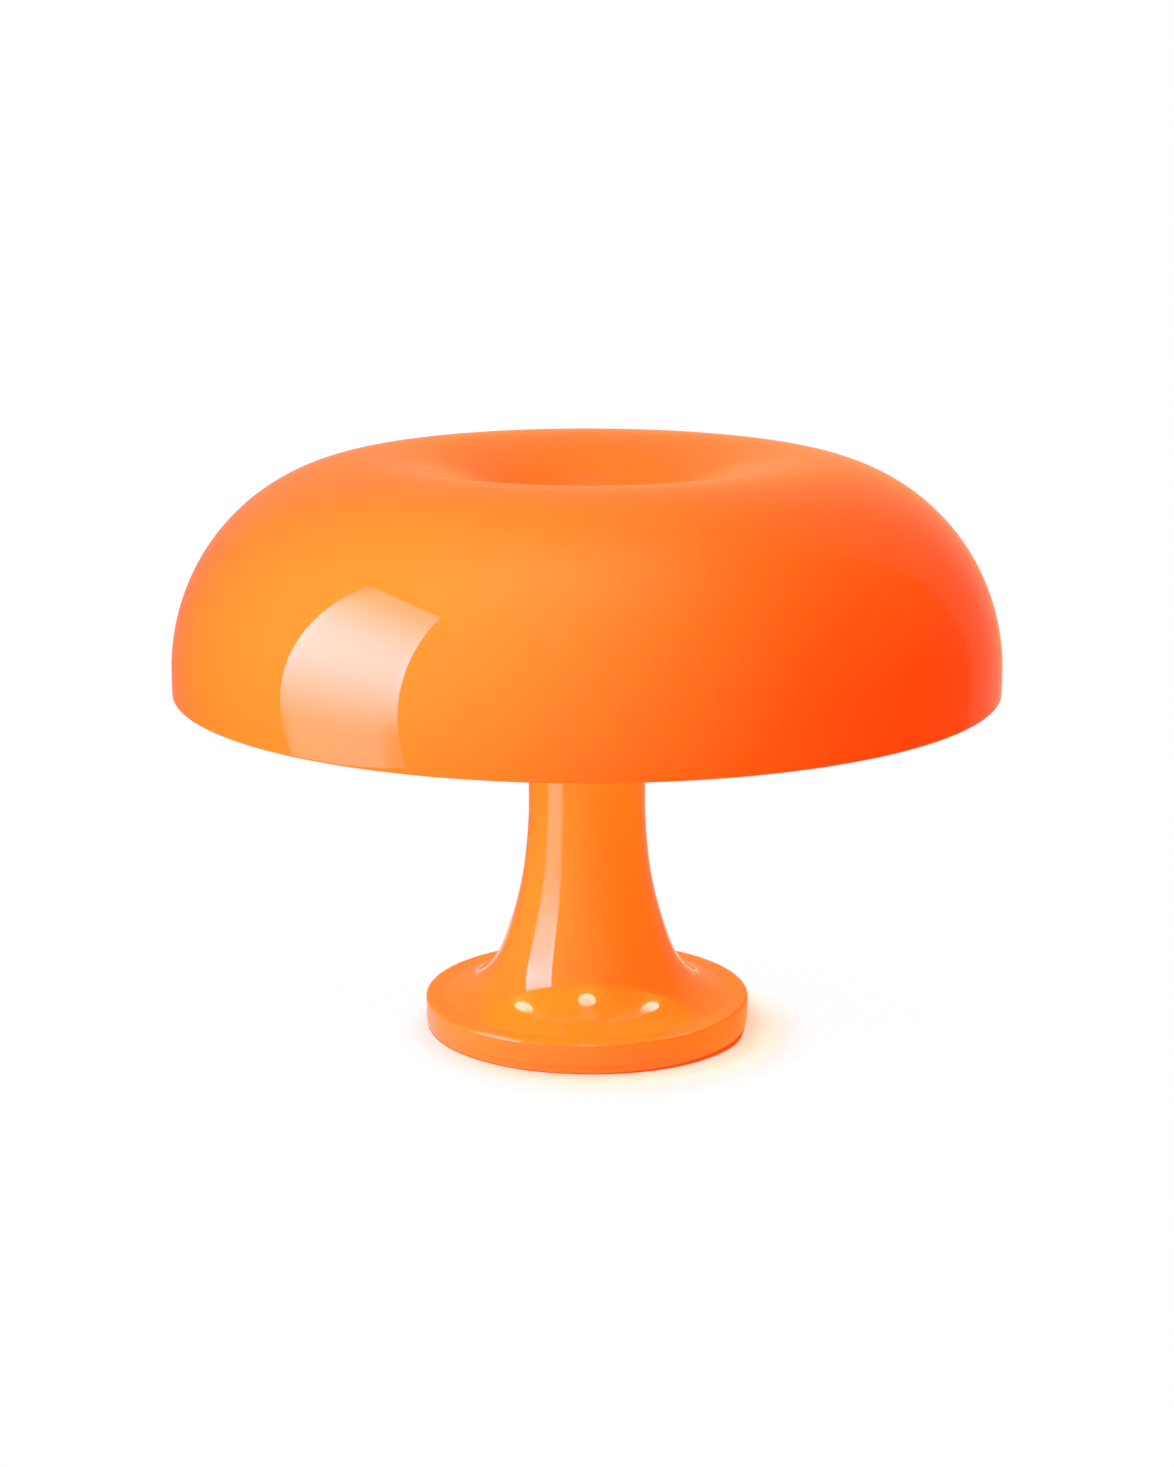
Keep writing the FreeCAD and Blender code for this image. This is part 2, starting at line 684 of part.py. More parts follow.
def make_holder_contact(body):
    nose = "(tip_plane - fit_gap)"
    outline = (
        ("insert_face", "-contact_foot"),
        ("insert_face + contact_leaf", "-contact_foot"),
        ("insert_face + contact_leaf", "-contact_foot / 2"),
        (nose, "-contact_leaf"),
        (nose, "contact_foot / 2"),
        (f"{nose} - contact_leaf", "contact_foot / 2"),
        (f"{nose} - contact_leaf", "contact_leaf"),
        ("insert_face", "2 * contact_leaf - contact_foot / 2"),
    )
    pad(body, "XZ_Plane", None, "contact_width", outline, symmetric=True)


def make_holder_leads(body):
    """Two leads from the insert through the nipple, bent down to the terminal board."""
    path = (
        ("insert_rear", "0"),
        ("terminal_reach + lead_bend", "0", "lead_bend"),
        ("terminal_reach", "-lead_bend"),
        ("terminal_reach", "board_top - bulb_height"),
    )
    pipe(body, path, "lead_offset", "YZ_Plane", "insert_rear", ("lead_offset", "0"))


def make_bulb_cap(body):
    turn(body, (
        ("tip_plane", "0"),
        ("tip_plane", "tip_radius"),
        ("tip_plane + cap_tip", "tip_radius"),
        ("tip_plane + cap_tip + cap_cone", "cap_radius"),
        ("cap_plane", "cap_radius"),
        ("cap_plane", "0"),
    ), "H_Axis")


def make_bulb_collar(body):
    turn(body, (
        ("cap_plane", "0"),
        ("cap_plane", "collar_radius"),
        ("globe_plane", "collar_flare"),
        ("globe_plane", "0"),
    ), "H_Axis")


def make_bulb_globe(body):
    turn(body, (
        ("globe_plane", "globe_mouth"),
        ("globe_plane", "collar_flare", "-globe_radius"),
        ("globe_end", "0"),
        ("globe_end - globe_wall", "0", "globe_bore"),
    ), "H_Axis")


# Shade and knob

def make_shade():
    """The dome and the funnel, welded along the crest."""
    wall_centre = ("crest_radius", "rim_top")
    turn(new_body("shade"), (
        ("shade_radius", "rim_bottom"),
        ("shade_radius", "rim_top", wall_centre),
        ("crest_radius", "crest_top"),
        ("crest_radius", "crest_under", wall_centre),
        ("shade_bore", "rim_top"),
        ("shade_bore", "rim_bottom"),
    ))
    funnel_centre = ("crest_radius", "neck_top")
    turn(new_body("shade_funnel"), (
        ("crest_radius", "crest_top", funnel_centre),
        ("stem_bore", "neck_top"),
        ("stem_bore", "floor_top"),
        ("knob_bore", "floor_top"),
        ("knob_bore", "floor_under"),
        ("stem_bore", "floor_under"),
        ("stem_bore", "neck_bottom"),
        ("stem_radius", "neck_bottom"),
        ("stem_radius", "neck_top", funnel_centre),
        ("crest_radius", "crest_under"),
    ))


def make_knob():
    ring("knob_washer", "knob_bore", "knob_radius", "floor_top", "knob_bottom")
    ring("knob_insert", "knob_bore", "bush_radius - fit_gap", "knob_bottom", "bush_top")
    body = new_body("shade_knob")
    turn(body, (
        ("bush_radius", "knob_bottom"),
        ("knob_radius", "knob_bottom"),
        ("knob_radius", "knob_top - knob_round", "knob_round"),
        ("knob_radius - knob_round", "knob_top"),
        ("0", "knob_top"),
        ("0", "bush_top"),
        ("bush_radius", "bush_top"),
    ))
    flute = [("flute_radius", ("knob_radius + flute_radius - flute_depth", "0"))]
    groove = cut(body, "XY_Plane", "knob_top", "knob_top - knob_bottom", rings=flute)
    repeat(body, groove, "knob_flutes")


ROUND_THE_HUB = (
    ("holder_dome", make_holder_dome),
    ("holder_skirt", make_holder_skirt),
    ("holder_insert", make_holder_insert),
    ("holder_shell", make_holder_shell),
    ("holder_contact", make_holder_contact),
    ("holder_leads", make_holder_leads),
    ("bulb_cap", make_bulb_cap),
    ("bulb_collar", make_bulb_collar),
    ("bulb_globe", make_bulb_globe),
)


def build():
    make_stem_foot()
    make_base_plate()
    make_non_slip_ring()
    make_ballast()
    make_base_screws()
    make_cord_grommet()
    make_tie_rod()
    make_rod_nuts()
    make_hub()
    make_hub_cover()
    make_terminals()
    make_supply_leads()
    make_nipples()
    for name, make in ROUND_THE_HUB:
        for number, degrees in BULB_TURNS.items():
            body = new_body(f"{name}_{number}")
            make(body)
            face_out(body, degrees, "bulb_height")
    make_shade()
    make_knob()
    doc.recompute()


def check_and_write():
    bodies = [thing for thing in doc.Objects if thing.TypeId == "PartDesign::Body"]
    for thing in doc.Objects:
        if "Invalid" in thing.State or "Error" in thing.State:
            raise RuntimeError(f"{thing.Label} failed: {thing.State}")
    for body in bodies:
        if body.Shape.isNull() or not body.Shape.isValid() or not body.Shape.Solids:
            raise RuntimeError(f"{body.Label} has no valid solid")
    os.makedirs("parts", exist_ok=True)
    for body in bodies:
        body.Shape.exportStep(f"parts/{body.Label}.step")
        print(f"{body.Label}: {len(body.Shape.Solids)} solid(s), {body.Shape.Volume / 1000:.2f} cm3")


build()
check_and_write()
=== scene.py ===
"""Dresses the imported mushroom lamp: smooth mouldings, lit bulbs, finishes and a pale studio."""

import json
import math

import bmesh
import bpy
from bpy.props import FloatProperty, FloatVectorProperty, IntProperty, PointerProperty
from mathutils import Matrix, Vector


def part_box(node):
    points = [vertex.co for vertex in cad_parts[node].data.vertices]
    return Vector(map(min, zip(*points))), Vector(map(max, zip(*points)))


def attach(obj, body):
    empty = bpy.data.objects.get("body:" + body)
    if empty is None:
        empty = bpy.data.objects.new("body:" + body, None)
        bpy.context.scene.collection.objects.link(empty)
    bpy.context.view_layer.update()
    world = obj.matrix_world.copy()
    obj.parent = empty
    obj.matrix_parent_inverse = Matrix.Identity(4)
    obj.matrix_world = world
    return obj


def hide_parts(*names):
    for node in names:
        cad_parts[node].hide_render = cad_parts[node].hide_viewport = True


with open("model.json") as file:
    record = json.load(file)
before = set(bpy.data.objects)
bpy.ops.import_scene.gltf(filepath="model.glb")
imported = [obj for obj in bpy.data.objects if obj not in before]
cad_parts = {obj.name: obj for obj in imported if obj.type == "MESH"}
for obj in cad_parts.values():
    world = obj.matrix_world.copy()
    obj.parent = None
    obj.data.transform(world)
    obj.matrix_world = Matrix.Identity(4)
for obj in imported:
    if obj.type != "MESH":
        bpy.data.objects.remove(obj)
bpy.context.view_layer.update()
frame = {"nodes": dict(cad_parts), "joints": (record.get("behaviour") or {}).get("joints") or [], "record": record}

bl_info = {
    "name": "Mushroom lamp",
    "version": (1, 0, 0),
    "blender": (4, 5, 0),
    "location": "3D View > Sidebar > Lamp",
    "description": "Builds the looks of a moulded mushroom table lamp on its packed frame",
    "category": "Object",
}

PAINTS = {paint["slot"]: paint["base_color"] for paint in frame["record"]["materials"]}
SLOTS = {part["node"]: part["material_slot"] for part in frame["record"]["subparts"]}
BULB_JOINTS = [joint for joint in frame["joints"] if joint["child"].startswith("bulb")]
OUTWARD = {joint["child"]: Vector(joint["axis"]) for joint in BULB_JOINTS}
# Handles of the flare's curve from the ledge to the stem, as shares of its reach and its height
FLARE = ((1, 0), (0.91, 0), (0.62, 0.04), (0.4, 0.13), (0.26, 0.25), (0.07, 0.52), (0, 0.79), (0, 1))
# Share of the light that the mouldings' lacquer mirrors, at any angle
LACQUER = 0.045
SCREWS = 3
SCREW_HEIGHT = 0.002
SCREW_SHANK = 0.002
# Size of fine edges and steps, and the finer amount by which pieces that meet clear or overlap
EDGE = 0.0003
PLAY = 0.0001
# Steps round a piece
SHADE_STEPS = 192
FOOT_STEPS = 160
GLOBE_STEPS = 80
HOLDER_STEPS = 72
SMALL_STEPS = 48
TINY = 1e-7
FULL_TURN = 2 * math.pi
SHARP = math.radians(35)
REAR = Vector((0, 1, 0))
WHITE = (1.0, 1.0, 1.0, 1.0)
BLACK = (0.0, 0.0, 0.0, 1.0)


# Places read from the frame

def low(node):
    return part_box(node)[0].z


def high(node):
    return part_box(node)[1].z


def middle(node):
    """Height of a node's middle."""
    return (low(node) + high(node)) / 2


def reach(node):
    """Outside radius of a node that is round about the lamp's axis."""
    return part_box(node)[1].x


def along(node, axis):
    """Where a node starts and ends along an axis from the middle of the lamp."""
    return sorted(corner.dot(axis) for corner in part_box(node))


def girth(node):
    """Outside radius of a node that is round about a level axis."""
    return (high(node) - low(node)) / 2


def facing(axis, height):
    """Carries a piece that is built along +Z to a level axis at a height."""
    turn = Vector((0, 0, 1)).rotation_difference(axis).to_matrix().to_4x4()
    return Matrix.Translation((0, 0, height)) @ turn


# Sizes and colours that a user would change

def length(name, description, default):
    return FloatProperty(name=name, description=description, default=default, min=0.0,
                         unit="LENGTH", precision=5)


def whole(name, description, default, least):
    return IntProperty(name=name, description=description, default=default, min=least)


def colour(name, description, default):
    return FloatVectorProperty(name=name, description=description, default=default, min=0.0, max=1.0,
                               size=3, subtype="COLOR")


def amount(name, description, default):
    return FloatProperty(name=name, description=description, default=default, min=0.0)


class LampSizes(bpy.types.PropertyGroup):
    wall: length("Wall", "Thickness of the mouldings", 0.003)
    rim_straight: length("Rim wall", "Straight wall above the shade's rim", 0.0077)
    rim_round: length("Rim rounding", "Rounding of the shade's rim", 0.0005)
    neck_top: length("Neck", "Height at which the funnel's neck turns straight", 0.1777)
    neck_radius: length("Neck radius", "Outside radius of the neck and the stem", 0.0226)
    rod_hole: length("Rod hole", "Radius of the hole in the funnel's floor", 0.0053)
    flare_radius: length("Flare radius", "Radius where the flare meets the foot's ledge", 0.0584)
    flare_top: length("Flare top", "Height at which the flare turns into the stem", 0.0999)
    ledge: length("Ledge", "Height of the foot's flat ledge", 0.0119)
    ledge_round: length("Ledge rounding", "Rounding of the foot's upper edge", 0.0012)
    foot_round: length("Foot rounding", "Rounding of the foot's lower edge", 0.0008)
    pad_inner: length("Ring inside", "Inside radius of the non-slip ring", 0.0501)
    screw_circle: length("Screw circle", "Radius of the circle of base screws", 0.029)
    screw_head: length("Screw head", "Radius of a base screw's head", 0.0038)
    knob_flutes: whole("Knob flutes", "Finger grooves round the knob", 12, 3)
    flute_depth: length("Flute depth", "Depth of a finger groove", 0.0007)
    holder_ribs: whole("Holder ribs", "Grip ribs round a bulb holder", 36, 6)
    thread_pitch: length("Thread pitch", "Pitch of the bulb cap's thread", 0.0028)
    thread_depth: length("Thread depth", "Depth of the bulb cap's thread", 0.0006)


class LampColours(bpy.types.PropertyGroup):
    plastic: colour("Plastic", "Orange moulded plastic", (0.97, 0.207, 0.0165))
    # Painted glow: an even emission on the shade's outside and the base plate's rim, standing in for light through
    # the plastic
    glow: colour("Glow", "Light that comes through the shade's wall", (0.85, 0.022, 0.0))
    bulb: colour("Bulb light", "Light of the opal globes", (1.0, 0.86, 0.62))
    floor: colour("Floor", "Pale floor", (0.8, 0.8, 0.8))
    bulb_strength: amount("Bulb strength", "Brightness of the opal globes", 24.0)


class LampStudio(bpy.types.PropertyGroup):
    panel: amount("Panel", "Brightness of the tall panel that the shade mirrors", 1.0)
    side: amount("Side light", "Power of the light on the left, in watts", 14.7)
    front: amount("Front light", "Power of the light in front of the shade, in watts", 0.88)
    top: amount("Top light", "Power of the light overhead, in watts", 0.85)
    rim: amount("Rim light", "Power of the light behind on the right, in watts", 0.7)
    surround: amount("Surround", "Brightness of the pale surroundings in reflections", 1.0)
    ambient: amount("Ambient", "Even light from all round", 0.035)


# Shader nodes

class Signal:
    """A shader socket in an expression: each operator adds a Math node."""

    def __init__(self, nodes, socket):
        self.nodes = nodes
        self.socket = socket

    def math(self, operation, first, second):
        return self.nodes.add("ShaderNodeMath", {"operation": operation}, {0: first, 1: second})

    def __add__(self, other):
        return self.math("ADD", self, other)

    __radd__ = __add__

    def __sub__(self, other):
        return self.math("SUBTRACT", self, other)

    def __rsub__(self, other):
        return self.math("SUBTRACT", other, self)

    def __mul__(self, other):
        return self.math("MULTIPLY", self, other)

    __rmul__ = __mul__

    def __pow__(self, other):
        return self.math("POWER", self, other)


class Nodes:
    """Adds nodes to a material or a world."""

    def __init__(self, owner):
        owner.use_nodes = True
        self.tree = owner.node_tree
        self.tree.nodes.clear()

    def add(self, kind, settings=None, sockets=None, out=0):
        node = self.tree.nodes.new(kind)
        for key, value in (settings or {}).items():
            setattr(node, key, value)
        for key, value in (sockets or {}).items():
            if isinstance(value, Signal):
                self.tree.links.new(value.socket, node.inputs[key])
            else:
                node.inputs[key].default_value = value
        return Signal(self, node.outputs[out]) if len(node.outputs) else None

    def where(self, stretch=(1, 1, 1)):
        place = self.add("ShaderNodeTexCoord", out="Object")
        if stretch == (1, 1, 1):
            return place
        return self.add("ShaderNodeVectorMath", {"operation": "MULTIPLY"}, {0: place, 1: stretch})

    def noise(self, place, scale, detail=2.0):
        sockets = {"Vector": place, "Scale": scale, "Detail": detail}
        return self.add("ShaderNodeTexNoise", {}, sockets, "Fac")

    def toward(self, way, aim):
        """How nearly a direction points at an aim, and nothing where it points away."""
        share = self.add("ShaderNodeVectorMath", {"operation": "DOT_PRODUCT"},
                         {0: way, 1: aim}, "Value")
        return self.add("ShaderNodeMath", {"operation": "MAXIMUM"}, {0: share, 1: 0.0})

    def ramp(self, value, start, end):
        return self.add("ShaderNodeMapRange", {"interpolation_type": "SMOOTHSTEP"},
                        {"Value": value, "From Min": start, "From Max": end})

    def shift(self, place, step):
        return self.add("ShaderNodeVectorMath", {"operation": "ADD"}, {0: place, 1: step})

    def distance(self, place):
        return self.add("ShaderNodeVectorMath", {"operation": "LENGTH"}, {0: place}, "Value")

    def part(self, place, axis):
        return self.add("ShaderNodeSeparateXYZ", {}, {0: place}, axis)

    def blend(self, factor, first, second):
        return self.add("ShaderNodeMix", {"data_type": "RGBA"}, {0: factor, 6: first, 7: second}, 2)

    def bump(self, height, strength, distance):
        sockets = {"Height": height, "Strength": strength, "Distance": distance}
        return self.add("ShaderNodeBump", {}, sockets, "Normal")

    def light_path(self, ray):
        return self.add("ShaderNodeLightPath", out=ray)

    def mix(self, factor, first, second):
        return self.add("ShaderNodeMixShader", {}, {0: factor, 1: first, 2: second})

    def surface(self, **sockets):
        named = {key.replace("_", " ").title(): value for key, value in sockets.items()}
        return self.add("ShaderNodeBsdfPrincipled", {}, named)

    def close(self, shader):
        self.add("ShaderNodeOutputMaterial", {}, {"Surface": shader})


def tone(paint, level=1.0):
    """A colour for a socket, darker or paler."""
    return (*(min(1.0, part * level) for part in paint), 1.0)


# Finishes

def new_finish(name):
    material = bpy.data.materials.new(name)
    return material, Nodes(material)


def moulded_plastic(name, paint, glow=None, rim=None):
    """Glossy plastic with drifting pigment, polishing haze, ripple and, if given, a painted glow for light through
    its wall.
    """
    material, nodes = new_finish(name)
    place = nodes.where()
    drift = nodes.noise(place, 22.0, 3.0)
    haze = nodes.noise(place, 140.0, 4.0)
    ripple = nodes.noise(place, 55.0, 1.0)
    look = {
        "base_color": nodes.blend(drift, tone(paint, 0.97), tone(paint, 1.03)),
        "roughness": 0.012 + 0.025 * haze,
        "normal": nodes.bump(ripple, 0.03, 0.0003),
    }
    # Painted glow: an even emission that stands in for light through the wall, kept to the outer rim when a rim is
    # given
    if glow:
        through = nodes.blend(drift, tone(glow, 0.97), tone(glow, 1.03))
        if rim:
            outer = nodes.ramp(nodes.distance(nodes.where((1, 1, 0))), rim - 0.001, rim - 0.0003)
            through = nodes.blend(outer, BLACK, through)
        look["emission_color"] = through
        look["emission_strength"] = 1.0
    lacquer = nodes.surface(base_color=WHITE, metallic=1.0, roughness=0.0)
    nodes.close(nodes.mix(LACQUER, nodes.surface(**look), lacquer))
    return material


def soft_rubber(name, paint):
    """Matt rubber with a fine moulded grain and dusty patches."""
    material, nodes = new_finish(name)
    place = nodes.where()
    dust = nodes.noise(place, 60.0, 5.0)
    grain = nodes.noise(place, 1800.0, 2.0)
    nodes.close(nodes.surface(
        base_color=nodes.blend(dust, tone(paint, 0.8), tone(paint, 1.5)),
        roughness=0.62 + 0.25 * dust,
        normal=nodes.bump(grain, 0.3, 0.0001),
    ))
    return material


def plated_metal(name, paint, roughness, stretch=(1, 1, 1)):
    """Plated or bare metal with drawn marks and patchy tarnish."""
    material, nodes = new_finish(name)
    patches = nodes.noise(nodes.where(), 90.0, 4.0)
    marks = nodes.noise(nodes.where(stretch), 700.0, 3.0)
    nodes.close(nodes.surface(
        base_color=nodes.blend(patches, tone(paint, 0.82), tone(paint, 1.08)),
        metallic=1.0,
        roughness=roughness + 0.18 * marks * patches,
        normal=nodes.bump(marks, 0.12, 0.00005),
    ))
    return material


def cast_iron(name, paint):
    """Rough cast iron with pits and rusty spots."""
    material, nodes = new_finish(name)
    place = nodes.where()
    pits = nodes.add("ShaderNodeTexVoronoi", {}, {"Vector": place, "Scale": 420.0}, "Distance")
    rust = nodes.ramp(nodes.noise(place, 70.0, 6.0), 0.58, 0.72)
    nodes.close(nodes.surface(
        base_color=nodes.blend(rust, tone(paint), (0.2, 0.08, 0.03, 1.0)),
        metallic=0.7 - 0.6 * rust,
        roughness=0.55 + 0.3 * rust,
        normal=nodes.bump(pits, 0.5, 0.0004),
    ))
    return material


def satin_shell(name, paint, roughness, grain=900.0, depth=0.00004):
    """Satin plastic or paint with faint yellowing and a fine texture."""
    material, nodes = new_finish(name)
    place = nodes.where()
    age = nodes.noise(place, 35.0, 4.0)
    texture = nodes.noise(place, grain, 2.0)
    warm = (paint[0], paint[1] * 0.97, paint[2] * 0.9)
    nodes.close(nodes.surface(
        base_color=nodes.blend(age, tone(paint, 1.02), tone(warm, 0.97)),
        roughness=roughness + 0.12 * age,
        normal=nodes.bump(texture, 0.15, depth),
    ))
    return material


def woven_sleeve(name, paint):
    """Heat-proof wire sleeve with a fine braid."""
    material, nodes = new_finish(name)
    place = nodes.where()
    rise = nodes.add("ShaderNodeTexWave", {"bands_direction": "DIAGONAL"},
                     {"Vector": place, "Scale": 500.0}, "Fac")
    soil = nodes.noise(place, 120.0, 4.0)
    nodes.close(nodes.surface(
        base_color=nodes.blend(soil, tone(paint, 1.0), tone(paint, 0.75)),
        roughness=0.6 + 0.2 * rise,
        normal=nodes.bump(rise, 0.4, 0.0001),
    ))
    return material


def pressed_fibre(name, paint):
    """Brown pressed fibre with pale flecks."""
    material, nodes = new_finish(name)
    flecks = nodes.ramp(nodes.noise(nodes.where((1.0, 1.0, 4.0)), 650.0, 4.0), 0.5, 0.75)
    nodes.close(nodes.surface(
        base_color=nodes.blend(flecks, tone(paint), tone(paint, 2.2)),
        roughness=0.7 + 0.15 * flecks,
        normal=nodes.bump(flecks, 0.3, 0.00008),
    ))
    return material


def lit_opal(name, paint, strength, roughness):
    """Lit opal plastic: dim by the cap, brightest on the globe, softer to the camera and mirrored."""
    material, nodes = new_finish(name)
    axis = OUTWARD["bulb_1"]
    distance = nodes.distance(nodes.where((1, 1, 0)))
    brightest = along("bulb_globe_1", axis)[0] + 0.014
    lit = nodes.ramp(distance, along("bulb_collar_1", axis)[0], brightest)
    cloud = nodes.noise(nodes.where(), 80.0, 3.0)
    warm = nodes.blend(lit, tone(paint, 0.1), tone(paint))
    seen = nodes.blend(lit, tone(paint, 0.1 / strength), tone(paint, 0.65 / strength))
    mirrored = nodes.blend(lit, (0.025, 0.022, 0.02, 1.0), (0.24, 0.23, 0.22, 1.0))
    shown = nodes.blend(nodes.light_path("Is Glossy Ray"), warm, mirrored)
    nodes.close(nodes.surface(
        base_color=nodes.blend(cloud, (0.86, 0.85, 0.82, 1.0), (0.9, 0.89, 0.86, 1.0)),
        roughness=roughness + 0.1 * cloud,
        emission_color=nodes.blend(nodes.light_path("Is Camera Ray"), shown, seen),
        emission_strength=strength,
    ))
    return material


def finish(slot):
    """The finish of one of the record's material slots, made once."""
    name = f"{slot}_finish"
    ready = bpy.data.materials.get(name)
    if ready:
        return ready
    colours = bpy.context.scene.lamp_colours
    paint = PAINTS[slot]
    makers = {
        "orange_plastic": lambda: moulded_plastic(name, colours.plastic),
        "black_rubber": lambda: soft_rubber(name, paint),
        "grey_silicone": lambda: soft_rubber(name, paint),
        "ballast_iron": lambda: cast_iron(name, paint),
        "zinc_steel": lambda: plated_metal(name, paint, 0.3, (1.0, 1.0, 0.1)),
        "white_enamel": lambda: satin_shell(name, paint, 0.3, 300.0, 0.0001),
        "white_plastic": lambda: satin_shell(name, paint, 0.28),
        "white_ceramic": lambda: satin_shell(name, paint, 0.6, 1500.0, 0.0001),
        "brass": lambda: plated_metal(name, paint, 0.25),
        "lead_sleeve": lambda: woven_sleeve(name, paint),
        "board_plastic": lambda: satin_shell(name, paint, 0.5),
        "nickel": lambda: plated_metal(name, paint, 0.16),
        # The collars glow faintly as well: painted light from the globes
        "bulb_plastic": lambda: lit_opal(name, colours.bulb, colours.bulb_strength, 0.4),
        "opal_glow": lambda: lit_opal(name, colours.bulb, colours.bulb_strength, 0.22),
        "fibre": lambda: pressed_fibre(name, paint),
    }
    return makers[slot]()


# Shapes

def rounded(*corners, steps=5):
    """A path of (radius, height) corners; a third number rounds a corner."""
    path = []
    for number, corner in enumerate(corners):
        spot = Vector(corner[:2])
        if len(corner) == 2:
            path.append(tuple(spot))
            continue
        back = (Vector(corners[number - 1][:2]) - spot).normalized()
        onward = (Vector(corners[number + 1][:2]) - spot).normalized()
        half = back.angle(onward) / 2
        centre = spot + (back + onward).normalized() * (corner[2] / math.sin(half))
        first = spot + back * (corner[2] / math.tan(half)) - centre
        last = spot + onward * (corner[2] / math.tan(half)) - centre
        sweep = math.pi - 2 * half
        for step in range(steps + 1):
            share = step / steps
            arm = first * math.sin((1 - share) * sweep) + last * math.sin(share * sweep)
            path.append(tuple(centre + arm / math.sin(sweep)))
    return path


def quarter(start, end, centre, steps):
    """A quarter of an ellipse from start to end round a centre."""
    hub = Vector(centre)
    first = Vector(start) - hub
    last = Vector(end) - hub
    angles = [math.pi / 2 * step / steps for step in range(steps + 1)]
    return [tuple(hub + first * math.cos(angle) + last * math.sin(angle)) for angle in angles]


def smooth(handles, rounds=4):
    """A smooth path that a few handles steer and that keeps their ends."""
    points = [Vector(handle) for handle in handles]
    for _ in range(rounds):
        finer = [point for point in points for _ in range(2)]
        for _ in range(2):
            finer = [(first + second) / 2 for first, second in zip(finer, finer[1:])]
        points = [points[0], *finer, points[-1]]
    return points


def skin(shape, ring, after, index):
    """Faces between two rings of points, either of which may be a single point."""
    count = max(len(ring), len(after))
    if count == 1:
        return
    for step in range(count):
        onward = step + 1
        corners = (ring[step % len(ring)], ring[onward % len(ring)],
                   after[onward % len(after)], after[step % len(after)])
        face = shape.faces.new(dict.fromkeys(corners))
        face.material_index = index


def finished(name, shape, finishes):
    """Turns a bmesh into a smooth piece with sharp edges at its corners."""
    bmesh.ops.recalc_face_normals(shape, faces=shape.faces)
    for face in shape.faces:
        face.smooth = True
    for edge in shape.edges:
        edge.smooth = edge.is_manifold and edge.calc_face_angle() < SHARP
    mesh = bpy.data.meshes.new(name)
    shape.to_mesh(mesh)
    shape.free()
    for material in finishes:
        mesh.materials.append(material)
    piece = bpy.data.objects.new(name, mesh)
    bpy.context.scene.collection.objects.link(piece)
    return piece


def turned(name, strips, steps, places=(Matrix.Identity(4),), ripple=None):
    """Turns strips of (finish, path) as one closed piece, once at each place."""
    shape = bmesh.new()
    finishes = []
    points = []
    for material, path in strips:
        if material not in finishes:
            finishes.append(material)
        index = finishes.index(material)
        for spot in path:
            if points and math.dist(points[-1][0], spot) < TINY:
                points.pop()
            points.append((spot, index))
    if math.dist(points[0][0], points[-1][0]) < TINY:
        points.pop()
    for place in places:
        rings = []
        for (radius, height), index in points:
            ring = []
            for step in range(steps if radius > TINY else 1):
                angle = FULL_TURN * step / steps
                arm = radius + (ripple(radius, height, angle) if ripple else 0.0)
                spot = Vector((arm * math.cos(angle), arm * math.sin(angle), height))
                ring.append(shape.verts.new(place @ spot))
            rings.append((ring, index))
        for number, (ring, index) in enumerate(rings):
            skin(shape, ring, rings[(number + 1) % len(rings)][0], index)
    return finished(name, shape, finishes)


def swell(height, first, last, fade):
    """How far a ripple has grown at a height: nothing outside its band, and all of it past the fade."""
    return max(0.0, min(1.0, (height - first) / fade, (last - height) / fade))


def carve(piece, tool):
    """Cuts a tool's shape out of a piece and removes the tool."""
    cut = piece.modifiers.new("carve", "BOOLEAN")
    cut.operation = "DIFFERENCE"
    cut.solver = "EXACT"
    cut.object = tool
    result = piece.evaluated_get(bpy.context.evaluated_depsgraph_get())
    carved = bpy.data.meshes.new_from_object(result)
    carved.set_sharp_from_angle(angle=SHARP)
    piece.modifiers.clear()
    old = piece.data
    piece.data = carved
    bpy.data.meshes.remove(old)
    bpy.data.objects.remove(tool)


def fit(piece, body, slot, *nodes):
    """Puts a piece in the place of its CAD nodes, on their body."""
    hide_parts(*nodes)
    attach(piece, body)


# Operators

